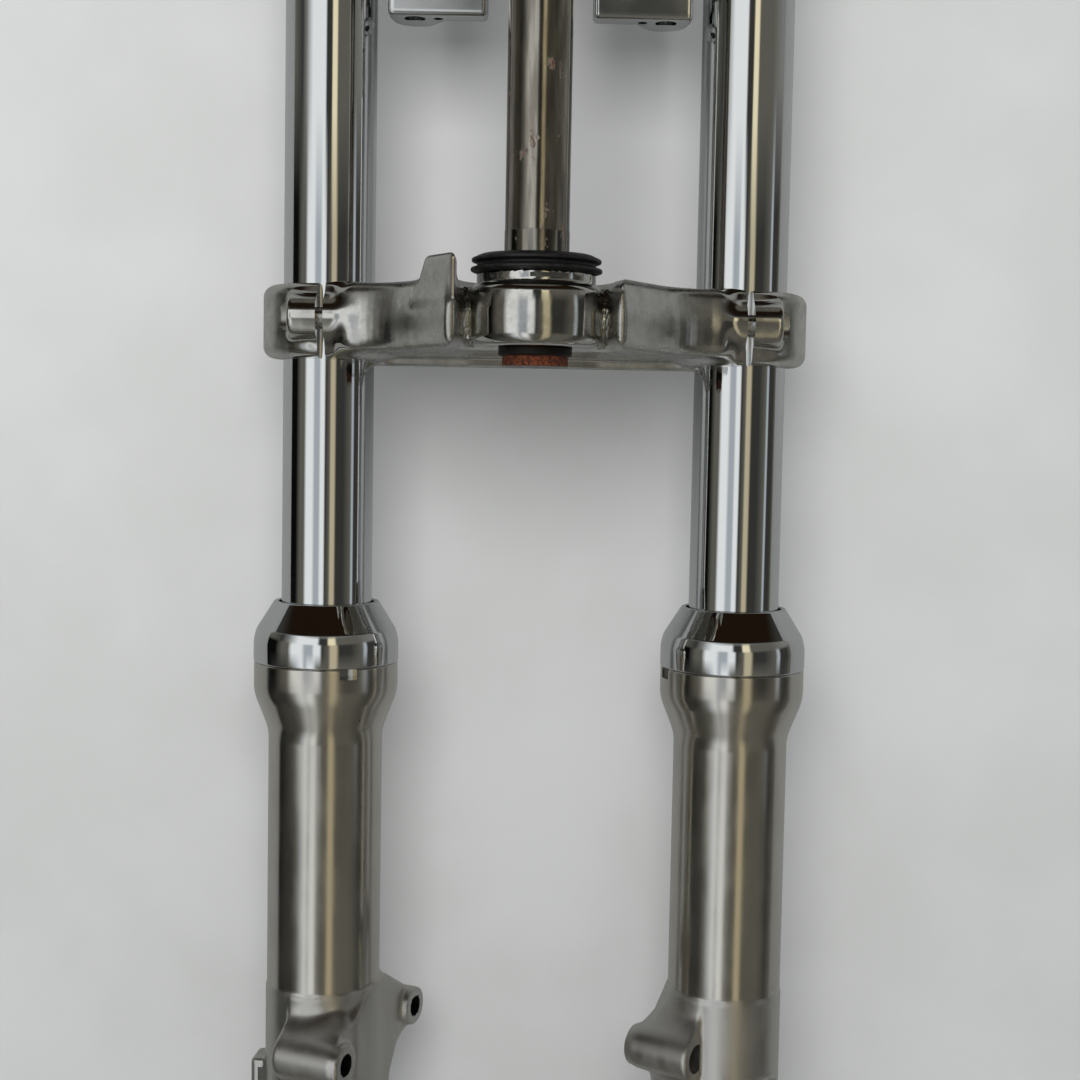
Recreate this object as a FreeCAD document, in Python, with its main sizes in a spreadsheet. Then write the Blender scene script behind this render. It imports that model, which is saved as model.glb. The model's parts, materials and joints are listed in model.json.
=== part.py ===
import FreeCAD, Part
import math
import os
from types import SimpleNamespace

import Sketcher
from FreeCAD import Rotation, Vector

# A telescopic front fork: two chrome fork tubes held side by side in a lower and an upper clamp,
# a steering stem between them, and a sliding lower leg on each tube.
# Millimetres. The origin is on the stem axis, at the top of the lower clamp's bearing seat.
# +Z runs up the stem, +X to the right and +Y to the front, away from the rider.
# Each leg is made with its own axes: "inward" points to the wheel, and "ahead" to the front.

os.makedirs("parts", exist_ok=True)
doc = FreeCAD.newDocument("suspension_fork")

SIZES = [
    # Layout
    ("tube_spacing", 178.0, "between the centres of the two fork tubes"),
    ("clamp_offset", 62.0, "from the stem axis forward to the tubes"),
    ("left_leg_turn", 23.5, "how far the left leg is turned about its tube, in degrees"),
    ("right_leg_turn", 35.0, "how far the right leg is turned about its tube, in degrees"),
    # Fork tubes
    ("tube_dia", 39.0, "outside of a fork tube"),
    ("tube_wall", 2.9, "wall of a fork tube"),
    ("tube_length", 590.0, "length of a fork tube"),
    ("tube_stickout", 2.0, "tube above the upper clamp"),
    ("clamp_fit", 0.04, "radial gap between a tube and its clamp"),
    ("running_fit", 0.05, "radial gap of a bush, ring or seal that slides"),
    ("seat_gap", 0.3, "gap at a seat between pieces of different bodies"),
    # Steering stem
    ("stem_dia", 25.4, "outside of the steering stem"),
    ("stem_seat_dia", 25.7, "ground seat of the lower bearing"),
    ("stem_seat_top", 17.0, "top of the ground seat"),
    ("stem_foot_dia", 26.0, "stem below the lower clamp"),
    ("stem_foot_drop", 7.5, "stem below the lower clamp's hub"),
    ("stem_thread_dia", 22.2, "threaded top of the stem"),
    ("stem_thread_top", 22.0, "threaded top above the upper clamp"),
    ("foot_washer_dia", 29.2, "washer under the lower clamp's hub"),
    ("foot_washer_thick", 3.3, "thickness of that washer"),
    ("stem_nut_flats", 32.0, "across the flats of the stem nut"),
    ("stem_nut_height", 13.0, "height of the stem nut"),
    ("stem_washer_dia", 36.0, "washer under the stem nut"),
    ("stem_washer_thick", 2.5, "thickness of that washer"),
    ("dust_seal_dia", 52.0, "lower lip of the bearing dust seal"),
    ("dust_seal_height", 7.4, "height of the bearing dust seal"),
    # Lower clamp
    ("hub_dia", 54.0, "round hub of the lower clamp"),
    ("hub_top_drop", 4.5, "hub's shoulder below the bearing seat"),
    ("hub_height", 24.1, "height of the hub"),
    ("seat_ring_dia", 47.0, "ring that the bearing seat stands on"),
    ("ring_dia", 56.0, "outside of a clamp ring"),
    ("lower_ring_drop", 1.2, "top of the lower rings below the bearing seat"),
    ("lower_ring_height", 31.0, "height of a lower clamp ring"),
    ("arm_drop", 1.6, "top of the arms below the bearing seat"),
    ("arm_height", 28.0, "height of the arms"),
    ("rib_width", 10.0, "rib along the front edge of the lower clamp"),
    ("rib_lip", 3.8, "lip of that rib below the arms"),
    ("pillar_reach", 19.5, "pillars beside the hub, reach towards the rider"),
    ("pillar_inner", 31.0, "inner corner of a pillar from the stem axis"),
    ("pillar_outer", 37.5, "outer corner of a pillar from the stem axis"),
    ("swoop_radius", 30.0, "hollow curve between a ring and its pillar"),
    ("stop_tab_height", 8.0, "steering stop above the arm"),
    ("pocket_floor", 16.0, "floor of the lower clamp's top pocket, below the seat"),
    ("slot_width", 3.2, "pinch slots"),
    ("boss_dia", 19.0, "round boss of a pinch bolt"),
    ("boss_half", 13.5, "boss from the slot's middle to its outer end"),
    ("boss_tube_gap", 3.5, "between the tube and the pinch bolt"),
    ("pinch_bolt_dia", 8.0, "pinch bolts"),
    ("pinch_head_dia", 13.0, "heads of the pinch bolts"),
    ("pinch_head_height", 8.0, "height of those heads"),
    ("pinch_bolt_reach", 18.0, "bolt past the slot's middle"),
    ("bolt_clearance", 0.3, "radial gap round a bolt's head or shank"),
    # Upper clamp and brackets
    ("upper_clamp_level", 168.0, "underside of the upper clamp"),
    ("upper_clamp_height", 24.0, "height of the upper clamp"),
    ("upper_hub_dia", 46.0, "hub of the upper clamp"),
    ("riser_spacing", 89.0, "between the handlebar riser holes"),
    ("riser_hole_dia", 12.9, "handlebar riser holes"),
    ("riser_ahead", 30.0, "riser holes ahead of the stem axis"),
    ("bracket_level", 113.0, "underside of the hanging brackets"),
    ("bracket_inner", 23.0, "inner end of a bracket from the stem axis"),
    ("bracket_outer", 63.5, "outer end of a bracket from the stem axis"),
    ("bracket_near", 51.0, "rear face of a bracket from the stem axis"),
    ("bracket_thick", 9.5, "thickness of a bracket's upright"),
    ("bracket_foot_depth", 24.0, "depth of a bracket's foot at its lobe"),
    ("bracket_foot_height", 11.0, "height of a bracket's foot"),
    ("bracket_hole_x", 53.3, "screw hole of a bracket from the stem axis"),
    ("bracket_hole_dia", 9.0, "recess for the bracket screw's head"),
    ("bracket_pin_x", 43.3, "small hole of a bracket from the stem axis"),
    ("bracket_pin_dia", 4.0, "small hole of a bracket"),
    ("bracket_screw_dia", 5.0, "bracket screws"),
    ("bracket_screw_grip", 14.0, "bracket screw inside the upper clamp"),
    # Lower legs
    ("tube_in_leg", 233.0, "fork tube inside a lower leg, with the leg hanging"),
    ("leg_length", 382.0, "length of a lower leg"),
    ("leg_dia", 49.4, "outside of a leg's straight part"),
    ("leg_head_dia", 62.4, "outside of a leg's swollen head"),
    ("leg_head_length", 13.5, "straight part of the head"),
    ("leg_taper_length", 16.5, "shoulder between head and straight part"),
    ("leg_bore_dia", 41.2, "bore that the lower bush slides in"),
    ("leg_foot", 53.0, "leg below that bore"),
    ("seal_bore_dia", 52.0, "bore for the oil seal"),
    ("seal_bore_depth", 26.0, "depth of the seal bore"),
    ("bush_bore_dia", 42.4, "bore for the upper bush"),
    ("bush_length", 15.0, "length of a bush"),
    ("travel", 90.0, "stroke of a leg"),
    ("leg_floor", 8.0, "floor between the bore and the damper bolt"),
    ("axle_bore_dia", 19.2, "axle bore"),
    ("axle_boss_dia", 50.0, "round boss at the axle"),
    ("axle_relief_length", 22.0, "relieved middle of the axle bore"),
    ("axle_relief_depth", 1.0, "depth of that relief"),
    ("wall_inward", 25.5, "flat wall on the wheel side, from the leg's axis"),
    ("rear_web_step", 3.3, "how far the rear lug's web stands out behind the leg's round"),
    ("lug_inward", 28.5, "face of the brake lugs, from the leg's axis"),
    ("rear_lug_back", 29.0, "rear lug behind the leg's axis"),
    ("rear_lug_drop", 167.0, "rear lug below the leg's rim"),
    ("rear_lug_dia", 18.0, "outside of the rear lug"),
    ("rear_lug_length", 31.0, "length of the rear lug"),
    ("rear_hole_dia", 9.5, "hole of the rear lug"),
    ("rear_hole_recess_dia", 12.4, "bolt head recess of the rear lug"),
    ("rear_hole_recess", 9.0, "depth of that recess"),
    ("front_lug_ahead", 34.0, "front lug ahead of the leg's axis"),
    ("front_lug_drop", 161.6, "front lug below the leg's rim"),
    ("front_lug_dia", 17.0, "outside of the front lug"),
    ("front_lug_length", 16.0, "length of the front lug"),
    ("front_hole_dia", 9.0, "hole of the front lug"),
    ("cast_top_drop", 143.0, "where the turned part ends, below the rim"),
    ("guide_drop", 178.0, "top of the hose guide below the rim"),
    ("guide_height", 26.0, "height of the hose guide"),
    ("guide_reach", 31.0, "outside of the hose guide from the leg's axis"),
    ("guide_turn", 16.4, "hose guide turned back from straight outward, in degrees"),
    ("pry_notch_width", 7.5, "notch in the leg's rim"),
    ("pry_notch_depth", 4.5, "depth of the notch"),
    ("pry_notch_turn", 50.0, "notch turned back from straight inward, in degrees"),
    # Dust cover, seals and rings in the leg's head
    ("cover_height", 26.2, "dust cover above the leg's rim"),
    ("cover_dia", 62.8, "outside of the dust cover"),
    ("cover_straight", 9.5, "straight part of the dust cover"),
    ("cover_mouth_dia", 41.4, "mouth of the dust cover"),
    ("cover_lip_dia", 45.2, "top edge of the dust cover"),
    ("cover_shoulder_dia", 60.2, "shoulder of the dust cover"),
    ("cover_shoulder_drop", 11.5, "shoulder below the dust cover's top"),
    ("cover_skirt", 10.0, "dust cover's skirt inside the leg"),
    ("cover_wall", 1.6, "wall of that skirt"),
    ("wiper_height", 9.0, "dust wiper"),
    ("oil_seal_height", 11.0, "oil seal"),
    ("seal_washer_thick", 2.0, "washer under the oil seal"),
    ("snap_ring_wire", 1.6, "wire of the retaining ring"),
    # Damper and springs
    ("rod_dia", 16.0, "damper rod"),
    ("rod_bore_dia", 11.0, "bore of the damper rod"),
    ("rod_head_height", 12.0, "head of the damper rod"),
    ("rod_length", 143.0, "damper rod from the leg's floor to its top"),
    ("piston_ring_height", 2.4, "piston ring"),
    ("tube_end_ring_bore", 24.4, "bore of the ring in the tube's lower end"),
    ("tube_end_ring_height", 10.0, "height of that ring"),
    ("oil_lock_height", 20.0, "oil lock piece"),
    ("fork_spring_wire", 4.6, "wire of the fork spring"),
    ("fork_spring_length", 330.0, "fork spring as fitted"),
    ("fork_spring_turns", 22, "turns of the fork spring"),
    ("rebound_spring_wire", 2.4, "wire of the rebound spring"),
    ("rebound_spring_turns", 5, "turns of the rebound spring"),
    ("spring_gap", 0.7, "radial gap between a spring and the tube's bore"),
    ("spring_washer_thick", 1.5, "washer on top of the fork spring"),
    ("spacer_wall", 2.4, "wall of the preload spacer"),
    ("cap_plug_length", 22.0, "fork cap inside the tube"),
    ("cap_flange_height", 3.0, "flange of the fork cap"),
    ("cap_hex_flats", 24.0, "across the flats of the fork cap"),
    ("cap_hex_height", 7.0, "hexagon of the fork cap"),
    ("cap_ring_section", 2.0, "section of the fork cap's sealing ring"),
    # Bolts and screws of the legs
    ("damper_bolt_dia", 8.0, "damper bolt"),
    ("damper_head_dia", 13.0, "head of the damper bolt"),
    ("damper_bolt_reach", 26.0, "damper bolt above its washer"),
    ("damper_washer_thick", 1.2, "washer of the damper bolt"),
    ("drain_dia", 6.0, "drain screw"),
    ("drain_head_dia", 10.0, "head of the drain screw"),
    ("drain_height", 16.0, "drain screw above the leg's floor"),
    ("drain_washer_thick", 1.0, "washer of the drain screw"),
    ("axle_slot_width", 3.0, "slot of the axle clamp"),
]


class Length:
    """A size with its value and the sheet expression that gives it."""

    def __init__(self, value, text):
        self.value = float(value)
        self.text = text

    def __add__(self, other):
        other = length(other)
        return Length(self.value + other.value, f"({self.text} + {other.text})")

    def __sub__(self, other):
        other = length(other)
        return Length(self.value - other.value, f"({self.text} - {other.text})")

    def __mul__(self, factor):
        return Length(self.value * factor, f"{self.text} * {factor}")

    def __truediv__(self, factor):
        return Length(self.value / factor, f"{self.text} / {factor}")

    def __neg__(self):
        return Length(-self.value, f"(0 - {self.text})")

    def __radd__(self, other):
        return length(other) + self

    def __rsub__(self, other):
        return length(other) - self

    def __float__(self):
        return self.value


def length(size):
    """A plain number as a Length, or a Length as it is."""
    if isinstance(size, Length):
        return size
    return Length(size, f"({size})")


sheet = doc.addObject("Spreadsheet::Sheet", "Sizes")
s = SimpleNamespace()
for row, (alias, size, meaning) in enumerate(SIZES, start=1):
    sheet.set(f"A{row}", meaning)
    sheet.set(f"B{row}", str(size))
    sheet.setAlias(f"B{row}", alias)
    setattr(s, alias, Length(size, f"Sizes.{alias}"))
doc.recompute()

nodes = {}
counter = iter(range(10000))


def bind(feature, prop, size):
    """Tie a property to the sheet."""
    feature.setExpression(prop, length(size).text)


def new(kind, name):
    """A feature of the document with a name of its own."""
    return doc.addObject(kind, f"{name}_{next(counter)}")


def shift(feature, x=0, y=0, z=0):
    """Tie a feature's place to the sheet."""
    for axis, size in (("x", x), ("y", y), ("z", z)):
        bind(feature, f"Placement.Base.{axis}", size)
    return feature


# Basic shapes, each tied to the sheet
AXES = {
    "X": Rotation(Vector(0, 1, 0), 90),
    "Y": Rotation(Vector(1, 0, 0), -90),
    "Z": Rotation(),
}


def rod(name, dia, run, x=0, y=0, z=0, along="Z"):
    """A round bar that starts at a point and runs along an axis."""
    bar = new("Part::Cylinder", name)
    bar.Placement.Rotation = AXES[along]
    bind(bar, "Radius", length(dia) / 2)
    bind(bar, "Height", run)
    return shift(bar, x, y, z)


def block(name, x, y, z):
    """A box between three pairs of limits."""
    box = new("Part::Box", name)
    for prop, (low, high) in (("Length", x), ("Width", y), ("Height", z)):
        bind(box, prop, length(high) - low)
    return shift(box, x[0], y[0], z[0])


def hexagon(name, flats, run, x=0, y=0, z=0, along="Z"):
    """A six-sided bar."""
    bar = new("Part::Prism", name)
    bar.Polygon = 6
    bar.Placement.Rotation = AXES[along]
    bind(bar, "Circumradius", length(flats) / (2 * math.cos(math.pi / 6)))
    bind(bar, "Height", run)
    return shift(bar, x, y, z)


def draw_outline(sketch, corners):
    """A closed outline of straight lines, each corner tied to the sheet."""
    spots = [Vector(float(across), float(up), 0) for across, up in corners]
    count = len(corners)
    for index, spot in enumerate(spots):
        sketch.addGeometry(Part.LineSegment(spot, spots[(index + 1) % count]), False)
    for index in range(count):
        sketch.addConstraint(Sketcher.Constraint("Coincident", index, 2, (index + 1) % count, 1))
    for index, (across, up) in enumerate(corners):
        for kind, size in (("DistanceX", across), ("DistanceY", up)):
            number = sketch.addConstraint(Sketcher.Constraint(kind, -1, 1, index, 1, float(size)))
            sketch.setExpression(f"Constraints[{number}]", length(size).text)


def outline_body(name, plane_role, corners):
    """A body with one sketch on one of its own origin planes."""
    body = new("PartDesign::Body", name)
    plane = next(item for item in body.Origin.OriginFeatures if item.Role == plane_role)
    sketch = body.newObject("Sketcher::SketchObject", body.Name + "_outline")
    sketch.AttachmentSupport = [(plane, "")]
    sketch.MapMode = "FlatFace"
    draw_outline(sketch, corners)
    return body, sketch


def turned(name, profile):
    """A piece turned about its Z axis from a closed outline of radius and height."""
    body, sketch = outline_body(name, "XZ_Plane", profile)
    turn = body.newObject("PartDesign::Revolution", body.Name + "_turn")
    turn.Profile = sketch
    turn.ReferenceAxis = (sketch, ["V_Axis"])
    turn.Angle = 360.0
    body.Tip = turn
    return body


def plate(name, corners, start, run, role="XY_Plane"):
    """A straight-sided plate: an outline pushed along its plane's normal."""
    body, sketch = outline_body(name, role, corners)
    bind(sketch, "AttachmentOffset.Base.z", start)
    pad = body.newObject("PartDesign::Pad", body.Name + "_pad")
    pad.Profile = sketch
    bind(pad, "Length", run)
    body.Tip = pad
    return body


def joined(name, *pieces):
    """Several solids as one."""
    whole = new("Part::MultiFuse", name)
    whole.Shapes = list(pieces)
    whole.Refine = True
    return whole


def less(name, piece, *tools):
    """A solid with others cut out of it."""
    cut = new("Part::Cut", name)
    cut.Base = piece
    cut.Tool = tools[0] if len(tools) == 1 else joined(name + "_tools", *tools)
    cut.Refine = True
    return cut


def rounded(name, piece, *jobs):
    """A solid with chosen edges rounded; each job is a radius and a test of an edge."""
    doc.recompute()
    picked = []
    for radius, wanted in jobs:
        for number, edge in enumerate(piece.Shape.Edges, start=1):
            if wanted(edge):
                picked.append((number, float(radius), float(radius)))
    soft = new("Part::Fillet", name)
    soft.Base = piece
    soft.Edges = picked
    return soft


def level_ring(level, radius):
    """Test for a round edge at a level with a radius."""
    def wanted(edge):
        return (isinstance(edge.Curve, Part.Circle)
                and abs(edge.Curve.Center.z - float(level)) < 0.01
                and abs(edge.Curve.Radius - float(radius)) < 0.01)
    return wanted


def upright_at(x, y):
    """Test for an upright straight edge at a corner of a plan."""
    def wanted(edge):
        low, high = edge.Vertexes[0].Point, edge.Vertexes[-1].Point
        here = all(abs(end.x - float(x)) < 0.01 and abs(end.y - float(y)) < 0.01 for end in (low, high))
        return here and abs(low.z - high.z) > 0.1
    return wanted


def node(name, piece, x=0, y=0, turn=None):
    """A named sub-part with its place in the fork."""
    piece.Label = name
    if turn is not None:
        bind(piece, "Placement.Rotation.Angle", turn)
    shift(piece, x, y)
    nodes[name] = piece
    return piece


# Sizes that several pieces share
half_spacing = s.tube_spacing / 2
tube_radius = s.tube_dia / 2
tube_bore = s.tube_dia - s.tube_wall * 2
bore_radius = tube_bore / 2
stem_radius = s.stem_dia / 2
upper_top = s.upper_clamp_level + s.upper_clamp_height
tube_top = upper_top + s.tube_stickout
tube_bottom = tube_top - s.tube_length
hub_bottom = -(s.hub_top_drop + s.hub_height)
stem_foot = hub_bottom - s.stem_foot_drop
bolt_ahead = s.clamp_offset - tube_radius - s.boss_tube_gap - s.pinch_bolt_dia / 2
rim = tube_bottom + s.tube_in_leg
floor_level = rim - s.leg_length + s.leg_foot
bolt_seat = floor_level - s.leg_floor
axle_level = rim - s.leg_length + s.axle_boss_dia / 2
SIDES = (("left", -1), ("right", 1))


def pinch_tools(name, level, half_height):
    """Cuts of a pinched ring on each side: tube bore, slot, bolt hole and head recess."""
    tools = []
    for side, sign in SIDES:
        x = half_spacing * sign
        bore = s.tube_dia + s.clamp_fit * 2
        low = length(level) - half_height
        tools.append(rod(f"{name}_bore", bore, length(half_height) * 2, x, s.clamp_offset, low))
        reach = s.clamp_offset - s.ring_dia / 2 - s.boss_dia
        tools.append(block(f"{name}_slot", (x - s.slot_width / 2, x + s.slot_width / 2),
                           (reach, s.clamp_offset - tube_radius + s.tube_wall), (low, low + length(half_height) * 2)))
        outer_end = x + s.boss_half * sign
        head_floor = outer_end - (s.pinch_head_height + 0.5) * sign
        inner_end = x - s.pinch_bolt_reach * sign
        left_first = sign < 0
        hole_start = head_floor if left_first else inner_end
        recess_start = outer_end - 5 if left_first else head_floor
        hole = s.pinch_bolt_dia + s.clamp_fit * 2
        tools.append(rod(f"{name}_bolt_hole", hole, s.boss_half + s.pinch_bolt_reach - s.pinch_head_height - 0.5,
                         hole_start, bolt_ahead, level, "X"))
        tools.append(rod(f"{name}_head_recess", s.pinch_head_dia + s.bolt_clearance * 2,
                         s.pinch_head_height + 5.5, recess_start, bolt_ahead, level, "X"))
    return tools


def pinch_bosses(name, level):
    """Round bosses for the pinch bolts of one clamp."""
    bosses = []
    for side, sign in SIDES:
        x = half_spacing * sign
        outer_end = x + s.boss_half * sign
        inner_end = x - s.pinch_bolt_reach * sign
        start = outer_end if sign < 0 else inner_end
        bosses.append(rod(f"{name}_boss", s.boss_dia, s.boss_half + s.pinch_bolt_reach,
                          start, bolt_ahead, level, "X"))
    return bosses


def pinch_bolts(name, level):
    """The two pinch bolts of one clamp, as separate solids of one node."""
    bolts = []
    for side, sign in SIDES:
        x = half_spacing * sign
        head_outer = x + (s.boss_half - 0.5) * sign
        head_inner = head_outer - s.pinch_head_height * sign
        tip = x - s.pinch_bolt_reach * sign
        shank_start = head_inner if sign < 0 else tip
        head_start = head_outer if sign < 0 else head_inner
        socket_start = head_outer if sign < 0 else head_outer - 4
        shank_run = s.boss_half - 0.5 - s.pinch_head_height + s.pinch_bolt_reach
        shank = rod("shank", s.pinch_bolt_dia, shank_run, shank_start, bolt_ahead, level, "X")
        head = rod("head", s.pinch_head_dia, s.pinch_head_height, head_start, bolt_ahead, level, "X")
        socket = hexagon("socket", 6, 4, socket_start, bolt_ahead, level, "X")
        bolts.append(less("bolt", joined("bolt_blank", shank, head), socket))
    pair = new("Part::Compound", name)
    pair.Links = bolts
    return node(name, pair)


def make_lower_clamp():
    """Forged lower clamp: hub, two swooping arms, two split rings, front rib and steering stop."""
    arm_top = -s.arm_drop
    arm_bottom = arm_top - s.arm_height
    front = s.clamp_offset + s.ring_dia / 2
    ring_near = s.clamp_offset - s.ring_dia / 2 + 1.5
    bend_x, bend_y = half_spacing - 31, ring_near - 9
    half_plan = [
        (half_spacing, front),
        (half_spacing, s.clamp_offset),
        (half_spacing - 7, ring_near + 5.5),
        (half_spacing - 5, ring_near - 2),
        (bend_x, bend_y),
        (s.pillar_outer, -s.pillar_reach),
        (s.pillar_inner, -s.pillar_reach),
        (s.hub_dia / 2 - 0.5, length(-3)),
    ]
    plan = half_plan + [(-length(x), y) for x, y in reversed(half_plan)]
    arms = plate("arms", plan, arm_bottom, s.arm_height)

    def rear_edge(edge):
        middle = edge.valueAt((edge.FirstParameter + edge.LastParameter) / 2)
        flat = all(abs(end.Point.z - middle.z) < 0.01 for end in edge.Vertexes)
        outside = abs(middle.x) > float(s.pillar_outer) - 0.2
        return flat and outside and middle.y < float(ring_near) - 0.1

    corners = []
    for sign in (-1, 1):
        corners.append((s.swoop_radius, upright_at(bend_x * sign, bend_y)))
        corners.append((3, upright_at(s.pillar_outer * sign, -s.pillar_reach)))
        corners.append((2, upright_at(s.pillar_inner * sign, -s.pillar_reach)))
    arms = rounded("arms_plan", arms, *corners)
    arms = rounded("arms_soft", arms, (4, rear_edge))
    relief_top = -s.hub_top_drop
    relief = rod("hub_relief", s.pillar_inner * 2 - 1, 20, 0, 0, relief_top)
    underside = rod("hub_underside", s.hub_dia - 2, 5, 0, 0, hub_bottom - 5)
    hollow = plate("top_pocket", [
        (-(half_spacing - 36), s.clamp_offset - 6),
        (length(-20), length(32)),
        (length(20), length(32)),
        (half_spacing - 36, s.clamp_offset - 6),
        (half_spacing - 36, front - s.rib_width),
        (-(half_spacing - 36), front - s.rib_width),
    ], -s.pocket_floor, s.pocket_floor)
    hollow = rounded("pocket_soft", hollow, (6, lambda edge: abs(
        edge.Vertexes[0].Point.z - edge.Vertexes[-1].Point.z) > 5))
    arms = less("arms_cut", arms, relief, underside, hollow)
    rib = block("front_rib", (-half_spacing, half_spacing), (front - s.rib_width, front),
                (arm_bottom - s.rib_lip, arm_bottom + 1))
    hub = rod("hub", s.hub_dia, s.hub_height, 0, 0, hub_bottom)
    hub = rounded("hub_soft", hub, (3, level_ring(relief_top, s.hub_dia / 2)),
                  (3, level_ring(hub_bottom, s.hub_dia / 2)))
    seat = rod("seat_ring", s.seat_ring_dia, s.hub_top_drop + 1, 0, 0, relief_top - 1)
    tab = plate("stop_tab", [
        (-(s.pillar_outer + 9), arm_top - 6),
        (-(s.pillar_outer + 3.5), arm_top - 0.5),
        (-(s.pillar_outer + 2), arm_top + s.stop_tab_height),
        (-s.pillar_inner, arm_top + s.stop_tab_height),
        (-s.pillar_inner, arm_top - 6),
    ], s.pillar_reach - 12, length(12), "XZ_Plane")
    tab = rounded("tab_soft", tab, (1.8, lambda edge: edge.BoundBox.ZMin > float(arm_top) + 2))
    rings = []
    ring_low = -(s.lower_ring_drop + s.lower_ring_height)
    for side, sign in SIDES:
        ring = rod("ring", s.ring_dia, s.lower_ring_height, half_spacing * sign, s.clamp_offset, ring_low)
        rings.append(rounded("ring_soft", ring,
                             (5, level_ring(ring_low, s.ring_dia / 2)),
                             (5, level_ring(-s.lower_ring_drop, s.ring_dia / 2))))
    level = -(s.lower_ring_drop + s.lower_ring_height / 2) + 1.2
    whole = joined("lower_clamp_blank", arms, rib, hub, seat, tab, *rings, *pinch_bosses("lower", level))
    stem_hole = rod("stem_hole", s.stem_dia, s.hub_height + s.hub_top_drop + 10, 0, 0, hub_bottom - 5)
    drift = block("drift_slot", (-2.5, 12.5), (-s.seat_ring_dia / 2 - 5, -s.seat_ring_dia / 2 + 6), (-2.6, -0.9))
    cuts = pinch_tools("lower", level, 26)
    node("lower_clamp", less("lower_clamp", whole, stem_hole, drift, *cuts))
    pinch_bolts("lower_pinch_bolts", level)


def make_stem():
    """Steering stem pressed into the lower clamp, with its foot washer, dust seal, nut and washer."""
    thread = s.stem_thread_dia / 2
    top = upper_top + s.stem_thread_top
    node("steering_stem", turned("steering_stem", [
        (0, stem_foot + 2.4), (1.6, stem_foot), (s.stem_foot_dia / 2 - 0.6, stem_foot),
        (s.stem_foot_dia / 2, stem_foot + 0.6), (s.stem_foot_dia / 2, hub_bottom),
        (stem_radius, hub_bottom), (stem_radius, s.dust_seal_height),
        (s.stem_seat_dia / 2, s.dust_seal_height), (s.stem_seat_dia / 2, s.stem_seat_top - 0.3),
        (stem_radius, s.stem_seat_top), (stem_radius, s.upper_clamp_level), (thread, s.upper_clamp_level),
        (thread, top - 1), (thread - 1, top), (0, top),
    ]))
    node("stem_foot_washer", turned("stem_foot_washer", [
        (s.stem_foot_dia / 2 + s.clamp_fit, hub_bottom), (s.foot_washer_dia / 2, hub_bottom),
        (s.foot_washer_dia / 2, hub_bottom - s.foot_washer_thick + 0.5),
        (s.foot_washer_dia / 2 - 0.5, hub_bottom - s.foot_washer_thick),
        (s.stem_foot_dia / 2 + s.clamp_fit, hub_bottom - s.foot_washer_thick),
    ]))
    lip = s.dust_seal_dia / 2
    tall = s.dust_seal_height
    node("bearing_dust_seal", turned("bearing_dust_seal", [
        (stem_radius + s.clamp_fit, 0), (lip - 2.6, 0), (lip, tall * 0.14), (lip, tall * 0.26),
        (lip - 2.4, tall * 0.42), (lip - 2.4, tall * 0.55), (lip - 0.5, tall * 0.66),
        (lip - 0.5, tall * 0.80), (lip - 3.5, tall), (stem_radius + s.clamp_fit, tall),
    ]))
    washer_top = upper_top + s.stem_washer_thick
    node("stem_washer", turned("stem_washer", [
        (thread + 0.2, upper_top), (s.stem_washer_dia / 2, upper_top),
        (s.stem_washer_dia / 2, washer_top), (thread + 0.2, washer_top),
    ]))
    nut = hexagon("nut_blank", s.stem_nut_flats, s.stem_nut_height, 0, 0, washer_top)
    dome = turned("nut_chamfer", [
        (0, washer_top), (s.stem_nut_flats / 2 - 0.3, washer_top), (s.stem_nut_flats / 2 + 2.6, washer_top + 1.6),
        (s.stem_nut_flats / 2 + 2.6, washer_top + s.stem_nut_height - 1.6),
        (s.stem_nut_flats / 2 - 0.3, washer_top + s.stem_nut_height), (0, washer_top + s.stem_nut_height),
    ])
    blank = new("Part::Common", "nut_common")
    blank.Base = nut
    blank.Tool = dome
    hole = rod("nut_thread", s.stem_thread_dia, s.stem_nut_height + 2, 0, 0, washer_top - 1)
    node("stem_nut", less("stem_nut", blank, hole))


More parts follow.
